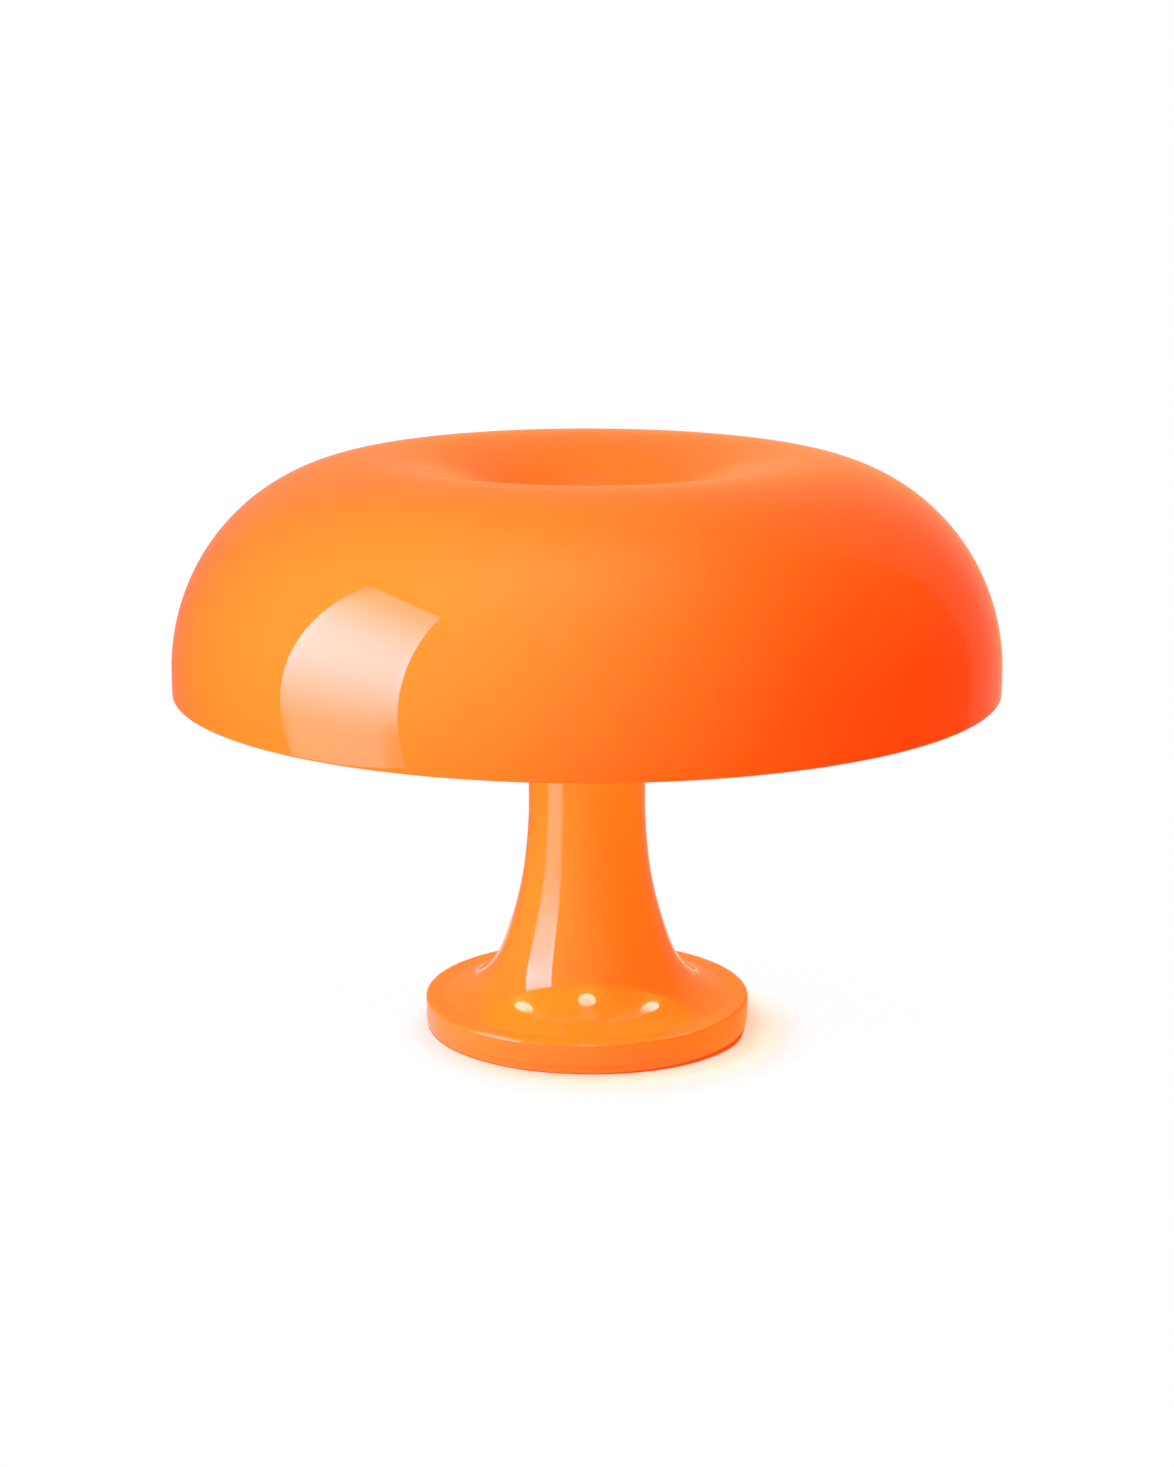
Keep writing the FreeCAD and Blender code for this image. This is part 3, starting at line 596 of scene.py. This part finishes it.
class LAMP_OT_shade(bpy.types.Operator):
    """Turns the shade: dome, rolled crest and funnel in one smooth wall"""
    bl_idname = "lamp.shade"
    bl_label = "Shade"

    def execute(self, context):
        sizes = context.scene.lamp_sizes
        colours = context.scene.lamp_colours
        inside = satin_shell("lining_finish", colours.plastic, 0.4)
        # The outside wears a painted glow for light through the wall; the lining has none
        outside = moulded_plastic("shade_finish", colours.plastic, colours.glow)
        radius = reach("shade")
        bore = radius - sizes.wall
        rim = low("shade")
        rim_top = rim + sizes.rim_straight
        crest = reach("shade_funnel")
        top = high("shade")
        neck = sizes.neck_radius - sizes.wall
        floor = low("knob_washer")
        under = floor - sizes.wall
        neck_end = low("shade_funnel")
        wall_middle = (crest, rim_top)
        funnel_middle = (crest, sizes.neck_top)
        # The lining ends where the lip's inside begins, so the lip leaves out its first point
        lip = rounded((bore, rim_top), (bore, rim, sizes.rim_round), (radius, rim, sizes.rim_round),
                      (radius, rim_top))[1:]
        dome = quarter((radius, rim_top), (crest, top), wall_middle, steps=48)
        funnel = quarter((crest, top), (neck, sizes.neck_top), funnel_middle, steps=40)
        corner_round = 0.0005
        end_round = 0.0004
        seat = rounded((neck, sizes.neck_top), (neck, floor, corner_round),
                       (sizes.rod_hole, floor, EDGE), (sizes.rod_hole, under, EDGE),
                       (neck, under, corner_round), (neck, neck_end, end_round),
                       (sizes.neck_radius, neck_end, end_round), (sizes.neck_radius, sizes.neck_top))
        underside = quarter((sizes.neck_radius, sizes.neck_top), (crest, top - sizes.wall),
                            funnel_middle, steps=28)
        lining = quarter((crest, top - sizes.wall), (bore, rim_top), wall_middle, steps=32)
        strips = [(outside, lip + dome + funnel), (inside, seat + underside + lining)]
        piece = turned("shade_moulding", strips, SHADE_STEPS)
        fit(piece, "shade", "orange_plastic", "shade", "shade_funnel")
        return {"FINISHED"}


class LAMP_OT_foot(bpy.types.Operator):
    """Turns the stem, its flare and the foot, and cuts the hole for the cord grommet"""
    bl_idname = "lamp.foot"
    bl_label = "Stem and foot"

    def execute(self, context):
        sizes = context.scene.lamp_sizes
        plastic = finish("orange_plastic")
        foot = reach("stem_foot")
        recess = low("stem_foot")
        top = high("stem_foot")
        bore = sizes.neck_radius - sizes.wall
        ceiling = sizes.ledge - sizes.wall
        width = sizes.flare_radius - sizes.neck_radius
        height = sizes.flare_top - sizes.ledge
        inner_round = 0.0004
        top_round = 0.0006
        side = rounded((foot - sizes.wall, ceiling), (foot - sizes.wall, recess, inner_round),
                       (foot, recess, sizes.foot_round), (foot, sizes.ledge, sizes.ledge_round),
                       (sizes.flare_radius, sizes.ledge))
        flare = [(sizes.neck_radius + width * out, sizes.ledge + height * up)
                 for out, up in smooth(FLARE)]
        end = rounded((sizes.neck_radius, sizes.flare_top), (sizes.neck_radius, top, top_round),
                      (bore, top, top_round), (bore, sizes.flare_top))
        inside = [(bore + width * out, ceiling + (height + sizes.wall) * up)
                  for out, up in reversed(smooth(FLARE, 2))]
        piece = turned("stem_foot_moulding", [(plastic, side + flare + end + inside)], FOOT_STEPS)
        self.drill(piece)
        fit(piece, "base", "orange_plastic", "stem_foot")
        return {"FINISHED"}

    def drill(self, piece):
        """Cuts the grommet's hole through the rear of the foot."""
        start, end = along("cord_grommet", REAR)
        radius = girth("cord_grommet") - EDGE
        path = [(0, start), (radius, start), (radius, end), (0, end)]
        place = [facing(REAR, middle("cord_grommet"))]
        carve(piece, turned("drill", [(finish("orange_plastic"), path)], SMALL_STEPS, place))


class LAMP_OT_base(bpy.types.Operator):
    """Makes the base plate with its ring groove, the non-slip ring, the screws and the grommet"""
    bl_idname = "lamp.base"
    bl_label = "Base plate"

    def execute(self, context):
        sizes = context.scene.lamp_sizes
        colours = context.scene.lamp_colours
        bottom = low("base_plate")
        top = low("stem_foot") + PLAY
        outer = reach("base_plate")
        groove_outer = reach("non_slip_ring")
        groove_top = high("non_slip_ring")
        groove_round = 0.0002
        rim_round = 0.0004
        plate = rounded((0, bottom), (sizes.pad_inner, bottom, groove_round), (sizes.pad_inner, groove_top),
                        (groove_outer, groove_top), (groove_outer, bottom, groove_round),
                        (outer, bottom, rim_round), (outer, top), (0, top))
        # Painted red glow on the plate's outer rim, which keeps its shaded edge a deep red
        plastic = moulded_plastic("plate_finish", colours.plastic, colours.glow, outer)
        piece = turned("base_plate_moulding", [(plastic, plate)], FOOT_STEPS)
        outward = Matrix.Translation((sizes.screw_circle, 0, 0))
        places = [Matrix.Rotation(FULL_TURN * number / SCREWS, 4, "Z") @ outward
                  for number in range(SCREWS)]
        self.sink(sizes, piece, plastic, places)
        fit(piece, "base", "orange_plastic", "base_plate")
        self.ring(sizes)
        self.screws(sizes, places)
        self.grommet()
        return {"FINISHED"}

    def sink(self, sizes, piece, plastic, places):
        """Sinks the base plate's underside for the screw heads."""
        past = 0.001
        under = low("base_plate") - past
        seat = low("base_screws") + SCREW_HEIGHT
        over = low("stem_foot") + past
        wide = sizes.screw_head + 2 * PLAY
        narrow = SCREW_SHANK + PLAY
        path = [(0, under), (wide, under), (wide, seat), (narrow, seat), (narrow, over), (0, over)]
        carve(piece, turned("sink", [(plastic, path)], SMALL_STEPS, places))

    def ring(self, sizes):
        """Non-slip ring with three fine grooves in its underside."""
        inner = sizes.pad_inner + PLAY
        outer = reach("non_slip_ring") - PLAY
        upper = high("non_slip_ring") - PLAY
        grooves = 3
        mouth = 0.0005
        path = [(inner, upper), (inner, EDGE), (inner + EDGE, 0.0)]
        for number in range(grooves):
            spot = inner + (outer - inner) * (number + 1) / (grooves + 1)
            path += [(spot - mouth, 0.0), (spot - EDGE, EDGE), (spot + EDGE, EDGE), (spot + mouth, 0.0)]
        path += [(outer - EDGE, 0.0), (outer, EDGE), (outer, upper)]
        piece = turned("non_slip_band", [(finish("black_rubber"), path)], FOOT_STEPS)
        fit(piece, "base", "black_rubber", "non_slip_ring")

    def screws(self, sizes, places):
        """Pan heads with a six-sided socket."""
        face = low("base_screws")
        tip = high("base_screws")
        seat = face + SCREW_HEIGHT
        socket = sizes.screw_head * 0.5
        socket_floor = face + 0.0012
        flat = math.pi / 3

        def six_sided(radius, height, angle):
            if abs(radius - socket) > TINY:
                return 0.0
            return socket * (math.cos(flat / 2) / math.cos(angle % flat - flat / 2) - 1)

        head_round = 0.0005
        path = [(0, socket_floor), (socket, socket_floor), (socket, face)]
        path += rounded((socket + EDGE, face), (sizes.screw_head, face, head_round),
                        (sizes.screw_head, seat))
        path += [(SCREW_SHANK, seat), (SCREW_SHANK, tip), (0, tip)]
        piece = turned("base_screw_set", [(finish("zinc_steel"), path)], SMALL_STEPS, places, six_sided)
        fit(piece, "base", "zinc_steel", "base_screws")

    def grommet(self):
        """Rubber grommet with a rounded flange."""
        start, end = along("cord_grommet", REAR)
        rim = girth("cord_grommet")
        wall = reach("stem_foot")
        neck = rim - 0.0004
        bore = 0.0025
        rim_round = 0.0006
        bore_round = 0.0005
        path = rounded((bore, start), (neck, start, EDGE), (neck, wall), (rim, wall), (rim, end, rim_round),
                       (bore, end, bore_round), (bore, start))
        place = [facing(REAR, middle("cord_grommet"))]
        piece = turned("cord_bush", [(finish("black_rubber"), path)], SMALL_STEPS, place)
        fit(piece, "base", "black_rubber", "cord_grommet")


class LAMP_OT_knob(bpy.types.Operator):
    """Turns the fluted knob in the bottom of the funnel"""
    bl_idname = "lamp.knob"
    bl_label = "Knob"

    def execute(self, context):
        sizes = context.scene.lamp_sizes
        bottom = low("shade_knob")
        top = high("shade_knob")
        radius = reach("shade_knob")
        bush = reach("knob_insert") + PLAY
        bush_top = high("knob_insert")
        plain = radius * 0.72
        fluted = radius * 0.28
        hollow = radius * 0.5
        hollow_depth = 0.0006
        foot_round = 0.0006
        crown_round = 0.004
        steps = 8

        def flutes(at, height, angle):
            edge = max(0.0, (at - plain) / fluted)
            wave = max(0.0, math.cos(angle * sizes.knob_flutes)) ** 2
            return -2 * sizes.flute_depth * wave * edge ** 2

        crown = [(0, bush_top), (bush, bush_top), (bush, bottom)]
        crown += rounded((bush, bottom), (radius, bottom, foot_round), (radius, top, crown_round),
                         (hollow, top), steps=steps)
        dish = [(hollow, top)]
        for step in range(1, steps + 1):
            share = step / steps
            dish.append((hollow * (1 - share), top - hollow_depth * math.sin(share * math.pi / 2)))
        strips = [(finish("orange_plastic"), crown + dish)]
        piece = turned("shade_knob_moulding", strips, SHADE_STEPS, ripple=flutes)
        fit(piece, "knob", "orange_plastic", "shade_knob")
        return {"FINISHED"}


class LAMP_OT_hub(bpy.types.Operator):
    """Builds the enamelled hub with bevelled edges"""
    bl_idname = "lamp.hub"
    bl_label = "Hub"

    def execute(self, context):
        half = reach("holder_hub")
        bottom = high("stem_foot")
        top = high("holder_hub")
        bevel = 0.0012
        top_bevel = 0.0004
        corner = 0.009
        steps = 4
        loops = []
        for step in range(steps + 1):
            angle = math.pi / 2 * step / steps
            loops.append((bevel * (1 - math.sin(angle)), bottom + bevel * (1 - math.cos(angle))))
        loops += [(0.0, top - top_bevel), (top_bevel, top)]
        shape = bmesh.new()
        rings = [[shape.verts.new((*spot, height)) for spot in self.square(half - inset, corner - inset)]
                 for inset, height in loops]
        for ring, after in zip(rings, rings[1:]):
            skin(shape, ring, after, 0)
        shape.faces.new(rings[0])
        shape.faces.new(rings[-1])
        piece = finished("hub_casting", shape, [finish("white_enamel")])
        fit(piece, "base", "white_enamel", "holder_hub")
        return {"FINISHED"}

    def square(self, half, corner):
        """Points of a square with rounded corners."""
        points = []
        steps = 8
        centre = Vector((half - corner, half - corner))
        for side in range(4):
            for step in range(steps + 1):
                angle = math.pi / 2 * step / steps
                spot = centre + corner * Vector((math.cos(angle), math.sin(angle)))
                points.append(tuple(Matrix.Rotation(side * math.pi / 2, 2) @ spot))
        return points


class LAMP_OT_holders(bpy.types.Operator):
    """Turns the four bulb holders: a domed back and a ribbed skirt each"""
    bl_idname = "lamp.holders"
    bl_label = "Bulb holders"

    def execute(self, context):
        sizes = context.scene.lamp_sizes
        plastic = finish("white_plastic")
        for body, axis in OUTWARD.items():
            number = body[-1]
            dome = f"holder_dome_{number}"
            skirt = f"holder_skirt_{number}"
            place = [facing(axis, middle(dome))]
            back, joint = along(dome, axis)
            mouth = along(skirt, axis)[1]
            radius = girth(dome)
            bore = radius - 0.002
            path = self.dome(radius, bore, back, joint)
            piece = turned(f"holder_back_{number}", [(plastic, path)], HOLDER_STEPS, place)
            fit(piece, "base", "white_plastic", dome)
            first = joint + 0.004
            last = mouth - 0.008
            path = self.skirt(radius, bore, joint, first, last, mouth)
            ribs = self.ribs(sizes.holder_ribs, radius, first, last)
            piece = turned(f"holder_front_{number}", [(plastic, path)], sizes.holder_ribs * 6, place, ribs)
            fit(piece, "base", "white_plastic", skirt)
        return {"FINISHED"}

    def dome(self, radius, bore, back, joint):
        """Section of the domed back, with a fine groove before the joint."""
        hole = 0.0051
        floor = back + 0.003
        back_round = 0.005
        groove = radius - 0.0006
        return rounded((hole, back), (radius, back, back_round), (radius, joint - 0.003, EDGE),
                       (groove, joint - 0.0026), (groove, joint - 0.0018), (radius, joint - 0.0014, EDGE),
                       (radius, joint, EDGE), (bore, joint), (bore, floor), (hole, floor), steps=7)

    def skirt(self, radius, bore, joint, first, last, mouth):
        """Section of the skirt, with points along the ribbed band and a fine groove before the mouth."""
        groove = radius - 0.0005
        opening = 0.0079
        lip = mouth - 0.0025
        lip_round = 0.0004
        steps = 16
        path = rounded((bore, joint), (radius, joint, EDGE), (radius, first))
        path += [(radius, first + (last - first) * step / steps) for step in range(steps + 1)]
        path += rounded((radius, last), (radius, mouth - 0.006, EDGE), (groove, mouth - 0.0055),
                        (groove, mouth - 0.0045), (radius, mouth - 0.004, EDGE),
                        (radius, mouth - 0.0015, lip_round), (radius - 0.0015, mouth, lip_round),
                        (opening, mouth, EDGE), (opening, lip), (bore, lip))
        return path

    def ribs(self, count, radius, first, last):
        """Grip ribs that fade out at both ends of their band."""
        fade = 0.0015
        depth = 0.0004

        def rise(at, height, angle):
            if at < radius - TINY:
                return 0.0
            return -depth * swell(height, first, last, fade) * (1 + math.cos(angle * count))

        return rise


class LAMP_OT_bulbs(bpy.types.Operator):
    """Turns the four lit bulbs: a threaded cap, a flared collar and an opal globe each"""
    bl_idname = "lamp.bulbs"
    bl_label = "Bulbs"

    def execute(self, context):
        sizes = context.scene.lamp_sizes
        for body, axis in OUTWARD.items():
            number = body[-1]
            place = [facing(axis, middle(f"bulb_globe_{number}"))]
            self.cap(sizes, body, number, axis, place)
            self.collar(body, number, axis, place)
            self.globe(body, number, axis, place)
        return {"FINISHED"}

    def cap(self, sizes, body, number, axis, place):
        """Screw cap with a contact pip, a dark insulator and a rolled thread."""
        node = f"bulb_cap_{number}"
        tip, end = along(node, axis)
        radius = girth(node)
        first = tip + 0.0045
        last = end - 0.004
        fade = 0.001
        steps = 60

        def thread(at, height, angle):
            if at < radius - TINY:
                return 0.0
            wave = 0.5 - 0.5 * math.cos(FULL_TURN * height / sizes.thread_pitch - angle)
            return -sizes.thread_depth * swell(height, first, last, fade) * wave

        pip_edge = (0.0025, tip + 0.0015)
        shoulder = (radius - 0.0004, tip + 0.0038)
        pip = [(0, tip), (0.0018, tip + 0.0002), (0.0024, tip + 0.0007), pip_edge]
        cone = rounded(pip_edge, (0.0052, tip + 0.0022, 0.0006), shoulder)
        shell = [shoulder, (radius, tip + 0.0043)]
        shell += [(radius, first + (last - first) * step / steps) for step in range(steps + 1)]
        shell += [(radius, end), (0, end)]
        strips = [(finish("zinc_steel"), pip), (finish("black_rubber"), cone), (finish("nickel"), shell)]
        piece = turned(f"bulb_thread_{number}", strips, SMALL_STEPS, place, thread)
        fit(piece, body, "nickel", node)

    def collar(self, body, number, axis, place):
        """Collar that flares from the cap to the globe."""
        node = f"bulb_collar_{number}"
        start, end = along(node, axis)
        flare = girth(node)
        seat = 0.0086
        seat_end = start + 0.003
        path = rounded((0, start), (seat, start, 0.0004), (seat, seat_end))
        path += quarter((seat, seat_end), (flare, end - 0.001), (flare, seat_end), steps=14)
        path += [(flare, end), (0, end)]
        piece = turned(f"bulb_neck_{number}", [(finish("bulb_plastic"), path)], HOLDER_STEPS, place)
        fit(piece, body, "bulb_plastic", node)

    def globe(self, body, number, axis, place):
        """Opal globe, flat where it meets the collar."""
        node = f"bulb_globe_{number}"
        start, end = along(node, axis)
        radius = girth(node)
        centre = end - radius
        opening = math.acos((start - centre) / radius)
        steps = 40
        path = [(0, start)]
        for step in range(steps + 1):
            angle = opening * (1 - step / steps)
            path.append((radius * math.sin(angle), centre + radius * math.cos(angle)))
        piece = turned(f"bulb_opal_{number}", [(finish("opal_glow"), path)], GLOBE_STEPS, place)
        fit(piece, body, "opal_glow", node)


class LAMP_OT_fittings(bpy.types.Operator):
    """Puts its finish on every CAD node that still shows: rods, nuts, leads and small fittings"""
    bl_idname = "lamp.fittings"
    bl_label = "Fittings"

    def execute(self, context):
        for name, node in frame["nodes"].items():
            material = finish(SLOTS[name])
            if not node.material_slots:
                node.data.materials.append(material)
            for slot in node.material_slots:
                slot.material = material
        return {"FINISHED"}


class LAMP_OT_studio(bpy.types.Operator):
    """Sets up the pale floor, the lights, the surroundings and the camera"""
    bl_idname = "lamp.studio"
    bl_label = "Studio"

    def execute(self, context):
        context.scene.view_settings.view_transform = "Standard"
        studio = context.scene.lamp_studio
        self.floor(context.scene.lamp_colours.floor)
        self.surroundings(studio)
        self.panel(studio.panel)
        self.light("side_light", (-1.08, -0.5, 0.36), 0.8, studio.side)
        self.light("front_light", (-0.1, -0.31, 0.41), 0.15, studio.front)
        self.light("top_light", (0.0, 0.3, 0.5), 0.15, studio.top)
        self.light("rim_light", (0.38, 0.15, 0.42), 0.15, studio.rim)
        self.camera()
        return {"FINISHED"}

    def floor(self, paint):
        """White to the camera away from the lamp; by the foot its own light and shadow with painted tint, halo,
        red contact shadow, reflections and glow; clear from below.
        """
        shape = bmesh.new()
        bmesh.ops.create_grid(shape, x_segments=8, y_segments=8, size=0.4)
        material, nodes = new_finish("pale_floor")
        place = nodes.where()
        camera = nodes.light_path("Is Camera Ray")
        glossy = nodes.light_path("Is Glossy Ray")
        foot = reach("stem_foot")
        across = nodes.part(place, "X")
        along_view = nodes.part(place, "Y")
        smudge = nodes.noise(place, 6.0, 4.0)
        distance = nodes.distance(place)
        scattered = 1 - camera - glossy
        soft = glossy * (1 - nodes.light_path("Is Singular Ray"))
        # Painted glow: to scattered rays the floor gives off warm light right of the foot and grey light under it,
        # standing in for light thrown back onto the foot and the base plate
        warm = scattered * nodes.ramp(across, -0.02, 0.07) * nodes.ramp(distance, 0.15, 0.09)
        under = scattered * nodes.ramp(distance, foot - 0.0005, foot - 0.003)
        plain = nodes.blend(smudge, tone(paint, 0.99), tone(paint, 1.01))
        # Painted contact shade: the floor's own colour turns a warm peach round the foot
        near = nodes.ramp(distance, foot + 0.012, foot)
        painted_bounce_glow = nodes.blend(warm, BLACK, (1.0, 0.75, 0.4, 1.0))
        matt = nodes.surface(
            base_color=nodes.blend(near, plain, (0.8, 0.66, 0.52, 1.0)),
            roughness=0.7,
            emission_color=nodes.blend(under, painted_bounce_glow, (0.6, 0.6, 0.6, 1.0)),
            emission_strength=1.3,
        )
        # How strongly the floor's own shadow shows is painted by place: the white share grows with the distance
        # from a point right of and in front of the middle
        shadow = nodes.distance(nodes.shift(place, (-0.008, 0.008, 0.0)))
        # Painted red contact shadow: a thin dark red line round the foot, wider towards the right front
        red_shade_spread = 0.0022 * nodes.ramp(across, -0.01, 0.05) * nodes.ramp(along_view, -0.01, -0.034)
        # Painted halo: a pinkish shade in front of the foot, in the white that the camera sees
        painted_halo = nodes.ramp(shadow, foot + 0.02, foot + 0.003) * nodes.ramp(along_view, 0.03, -0.01)
        painted_red_shade = nodes.ramp(distance - red_shade_spread, foot - 0.0002, foot - 0.001)
        past_shadow = nodes.ramp(shadow, foot - 0.004, foot + 0.016)
        away = 0.36 + 0.59 * past_shadow + 0.05 * nodes.ramp(shadow, 0.09, 0.14)
        # Painted light and reflections: to blurred reflections the floor is paler on the left where the side light
        # falls, warm behind the foot and orange right of it, which gives the foot its glints
        aside = across - 0.03
        behind = soft * nodes.ramp(along_view, 0.06, 0.1) * nodes.ramp(aside * aside, 0.0081, 0.0036)
        painted_orange_zone = soft * nodes.ramp(across, 0.04, 0.066) * nodes.ramp(distance, 0.13, 0.09)
        mirrored = soft * (0.12 + 0.7 * nodes.ramp(across, 0.12, -0.12))
        painted_reflection = nodes.blend(behind, nodes.blend(mirrored, BLACK, WHITE), (1.0, 0.82, 0.5, 1.0))
        painted_reflection_tone = nodes.blend(painted_orange_zone, painted_reflection, (1.0, 0.5, 0.16, 1.0))
        painted_halo_colour = nodes.blend(painted_halo, WHITE, (1.0, 0.9, 0.92, 1.0))
        seen = nodes.blend(painted_red_shade, painted_halo_colour, (0.95, 0.06, 0.0, 1.0))
        pale = nodes.add("ShaderNodeEmission", {}, {"Color": nodes.blend(camera, painted_reflection_tone, seen)})
        upper = nodes.mix(camera * (away + 0.6 * painted_red_shade) + glossy, matt, pale)
        clear = nodes.add("ShaderNodeBsdfTransparent")
        below = nodes.add("ShaderNodeNewGeometry", out="Backfacing")
        hidden = camera * below + glossy * nodes.ramp(distance, 0.2, 0.3)
        nodes.close(nodes.mix(hidden, upper, clear))
        finished("floor", shape, [material])

    def surroundings(self, studio):
        """White to the camera; in reflections pale overhead, on the left and behind, and dim elsewhere."""
        world = bpy.data.worlds.new("studio")
        bpy.context.scene.world = world
        nodes = Nodes(world)
        way = nodes.add("ShaderNodeTexCoord", out="Generated")
        overhead = nodes.toward(way, (-0.04, -0.18, 0.98)) ** 12
        left = nodes.toward(way, (-0.6, -0.65, 0.47)) ** 1.7
        behind = nodes.toward(way, (0.25, 0.94, -0.23)) ** 8
        ceiling = nodes.toward(way, (0.0, 0.89, 0.45)) ** 3
        dusk = nodes.toward(way, (0.0, 0.975, 0.22)) ** 14
        wall = nodes.ramp(nodes.toward(way, (-0.577, 0.806, 0.1)), 0.0, 0.02)
        pale = 0.65 * overhead + 0.43 * left + 0.28 * behind + 0.12 * ceiling + 0.08 * wall
        camera = nodes.light_path("Is Camera Ray")
        glossy = nodes.light_path("Is Glossy Ray")
        clear = nodes.light_path("Is Transmission Ray")
        soft = glossy * (1 - nodes.light_path("Is Singular Ray"))
        mirrored = soft * (0.015 + studio.surround * (pale + 0.22 * dusk))
        level = camera + clear + (1 - camera) * (mirrored + (1 - glossy) * studio.ambient)
        tint = nodes.blend(glossy * (dusk + 0.6 * behind), WHITE, (1.0, 0.8, 0.4, 1.0))
        sky = nodes.add("ShaderNodeBackground", {}, {"Color": tint, "Strength": level})
        nodes.add("ShaderNodeOutputWorld", {}, {"Surface": sky})

    def panel(self, level):
        """A tall panel on the left that only shows in reflections, brightest a little below its middle."""
        width = 0.84
        height = 1.79
        middle_rise = 0.545
        across = Vector((-0.4287, 0.9035, 0.0))
        up = Vector((0.1282, 0.0608, 0.9899))
        shape = bmesh.new()
        bmesh.ops.create_grid(shape, x_segments=2, y_segments=4, size=0.5)
        bmesh.ops.scale(shape, vec=(width, height, 1.0), verts=shape.verts)
        # One side leans about a point a little above the middle, and the top slants
        lean = 0.09
        pivot = 0.06
        slant = 0.124
        for vert in shape.verts:
            if vert.co.x < -TINY:
                vert.co.x += lean * (vert.co.y - pivot)
            if vert.co.y > height / 2 - TINY:
                vert.co.y += slant * vert.co.x
        material, nodes = new_finish("panel_cloth")
        place = nodes.where()
        across_panel = nodes.part(place, "X")
        rise = nodes.part(place, "Y") + middle_rise
        hot = nodes.ramp(rise, -0.09, 0.68) * nodes.ramp(rise, 1.48, 0.68)
        edge = nodes.ramp(across_panel * across_panel, 0.09, 0.18)
        cool = nodes.blend(edge, (0.185, 0.185, 0.225, 1.0), (0.09, 0.09, 0.1, 1.0))
        sharp = nodes.light_path("Is Singular Ray")
        cloth = nodes.blend(hot * (0.8 + 0.2 * edge + 0.2 * across_panel), cool, (0.62, 0.69, 1.0, 1.0))
        nodes.close(nodes.add("ShaderNodeEmission", {}, {
            "Color": nodes.blend(sharp, BLACK, cloth),
            "Strength": 14.6 * level,
        }))
        panel = finished("panel", shape, [material])
        turn = Matrix((across, up, across.cross(up))).transposed().to_4x4()
        panel.matrix_world = Matrix.Translation((-1.1687, -0.4944, 0.5395)) @ turn
        panel.visible_camera = False
        panel.visible_diffuse = False

    def light(self, name, spot, size, power):
        """A soft square light aimed at the shade, which reflections don't show."""
        lamp = bpy.data.lights.new(name, "AREA")
        lamp.size = size
        lamp.energy = power
        holder = bpy.data.objects.new(name, lamp)
        holder.location = spot
        aim = Vector((0, 0, 0.17))
        holder.rotation_euler = (holder.location - aim).to_track_quat("Z", "Y").to_euler()
        holder.visible_camera = False
        holder.visible_glossy = False
        bpy.context.scene.collection.objects.link(holder)

    def camera(self):
        """The camera that was fitted to the photo's outlines."""
        tilt = 0.234
        lens = bpy.data.cameras.new("camera")
        lens.lens = 67.82
        lens.sensor_width = 36.0
        lens.clip_start = 0.02
        eye = bpy.data.objects.new("camera", lens)
        eye.location = (0, -1.0396, 0.364)
        eye.rotation_euler = (math.pi / 2 - tilt, 0, 0)
        bpy.context.scene.collection.objects.link(eye)
        bpy.context.scene.camera = eye


PIECES = (LAMP_OT_fittings, LAMP_OT_shade, LAMP_OT_foot, LAMP_OT_base, LAMP_OT_knob, LAMP_OT_hub,
          LAMP_OT_holders, LAMP_OT_bulbs, LAMP_OT_studio)


class LAMP_PT_sidebar(bpy.types.Panel):
    """Lists the lamp's pieces, sizes and colours"""
    bl_idname = "LAMP_PT_sidebar"
    bl_label = "Mushroom lamp"
    bl_space_type = "VIEW_3D"
    bl_region_type = "UI"
    bl_category = "Lamp"

    def draw(self, context):
        for operator in PIECES:
            self.layout.operator(operator.bl_idname)
        for group in (context.scene.lamp_sizes, context.scene.lamp_colours, context.scene.lamp_studio):
            box = self.layout.box()
            for name in group.__annotations__:
                box.prop(group, name)


CLASSES = (LampSizes, LampColours, LampStudio, *PIECES, LAMP_PT_sidebar)


def register():
    for kind in CLASSES:
        bpy.utils.register_class(kind)
    bpy.types.Scene.lamp_sizes = PointerProperty(type=LampSizes)
    bpy.types.Scene.lamp_colours = PointerProperty(type=LampColours)
    bpy.types.Scene.lamp_studio = PointerProperty(type=LampStudio)


def unregister():
    del bpy.types.Scene.lamp_studio
    del bpy.types.Scene.lamp_colours
    del bpy.types.Scene.lamp_sizes
    for kind in reversed(CLASSES):
        bpy.utils.unregister_class(kind)


def main():
    register()
    bpy.ops.lamp.fittings()
    bpy.ops.lamp.shade()
    bpy.ops.lamp.foot()
    bpy.ops.lamp.base()
    bpy.ops.lamp.knob()
    bpy.ops.lamp.hub()
    bpy.ops.lamp.holders()
    bpy.ops.lamp.bulbs()
    bpy.ops.lamp.studio()


if __name__ == "__main__":
    main()
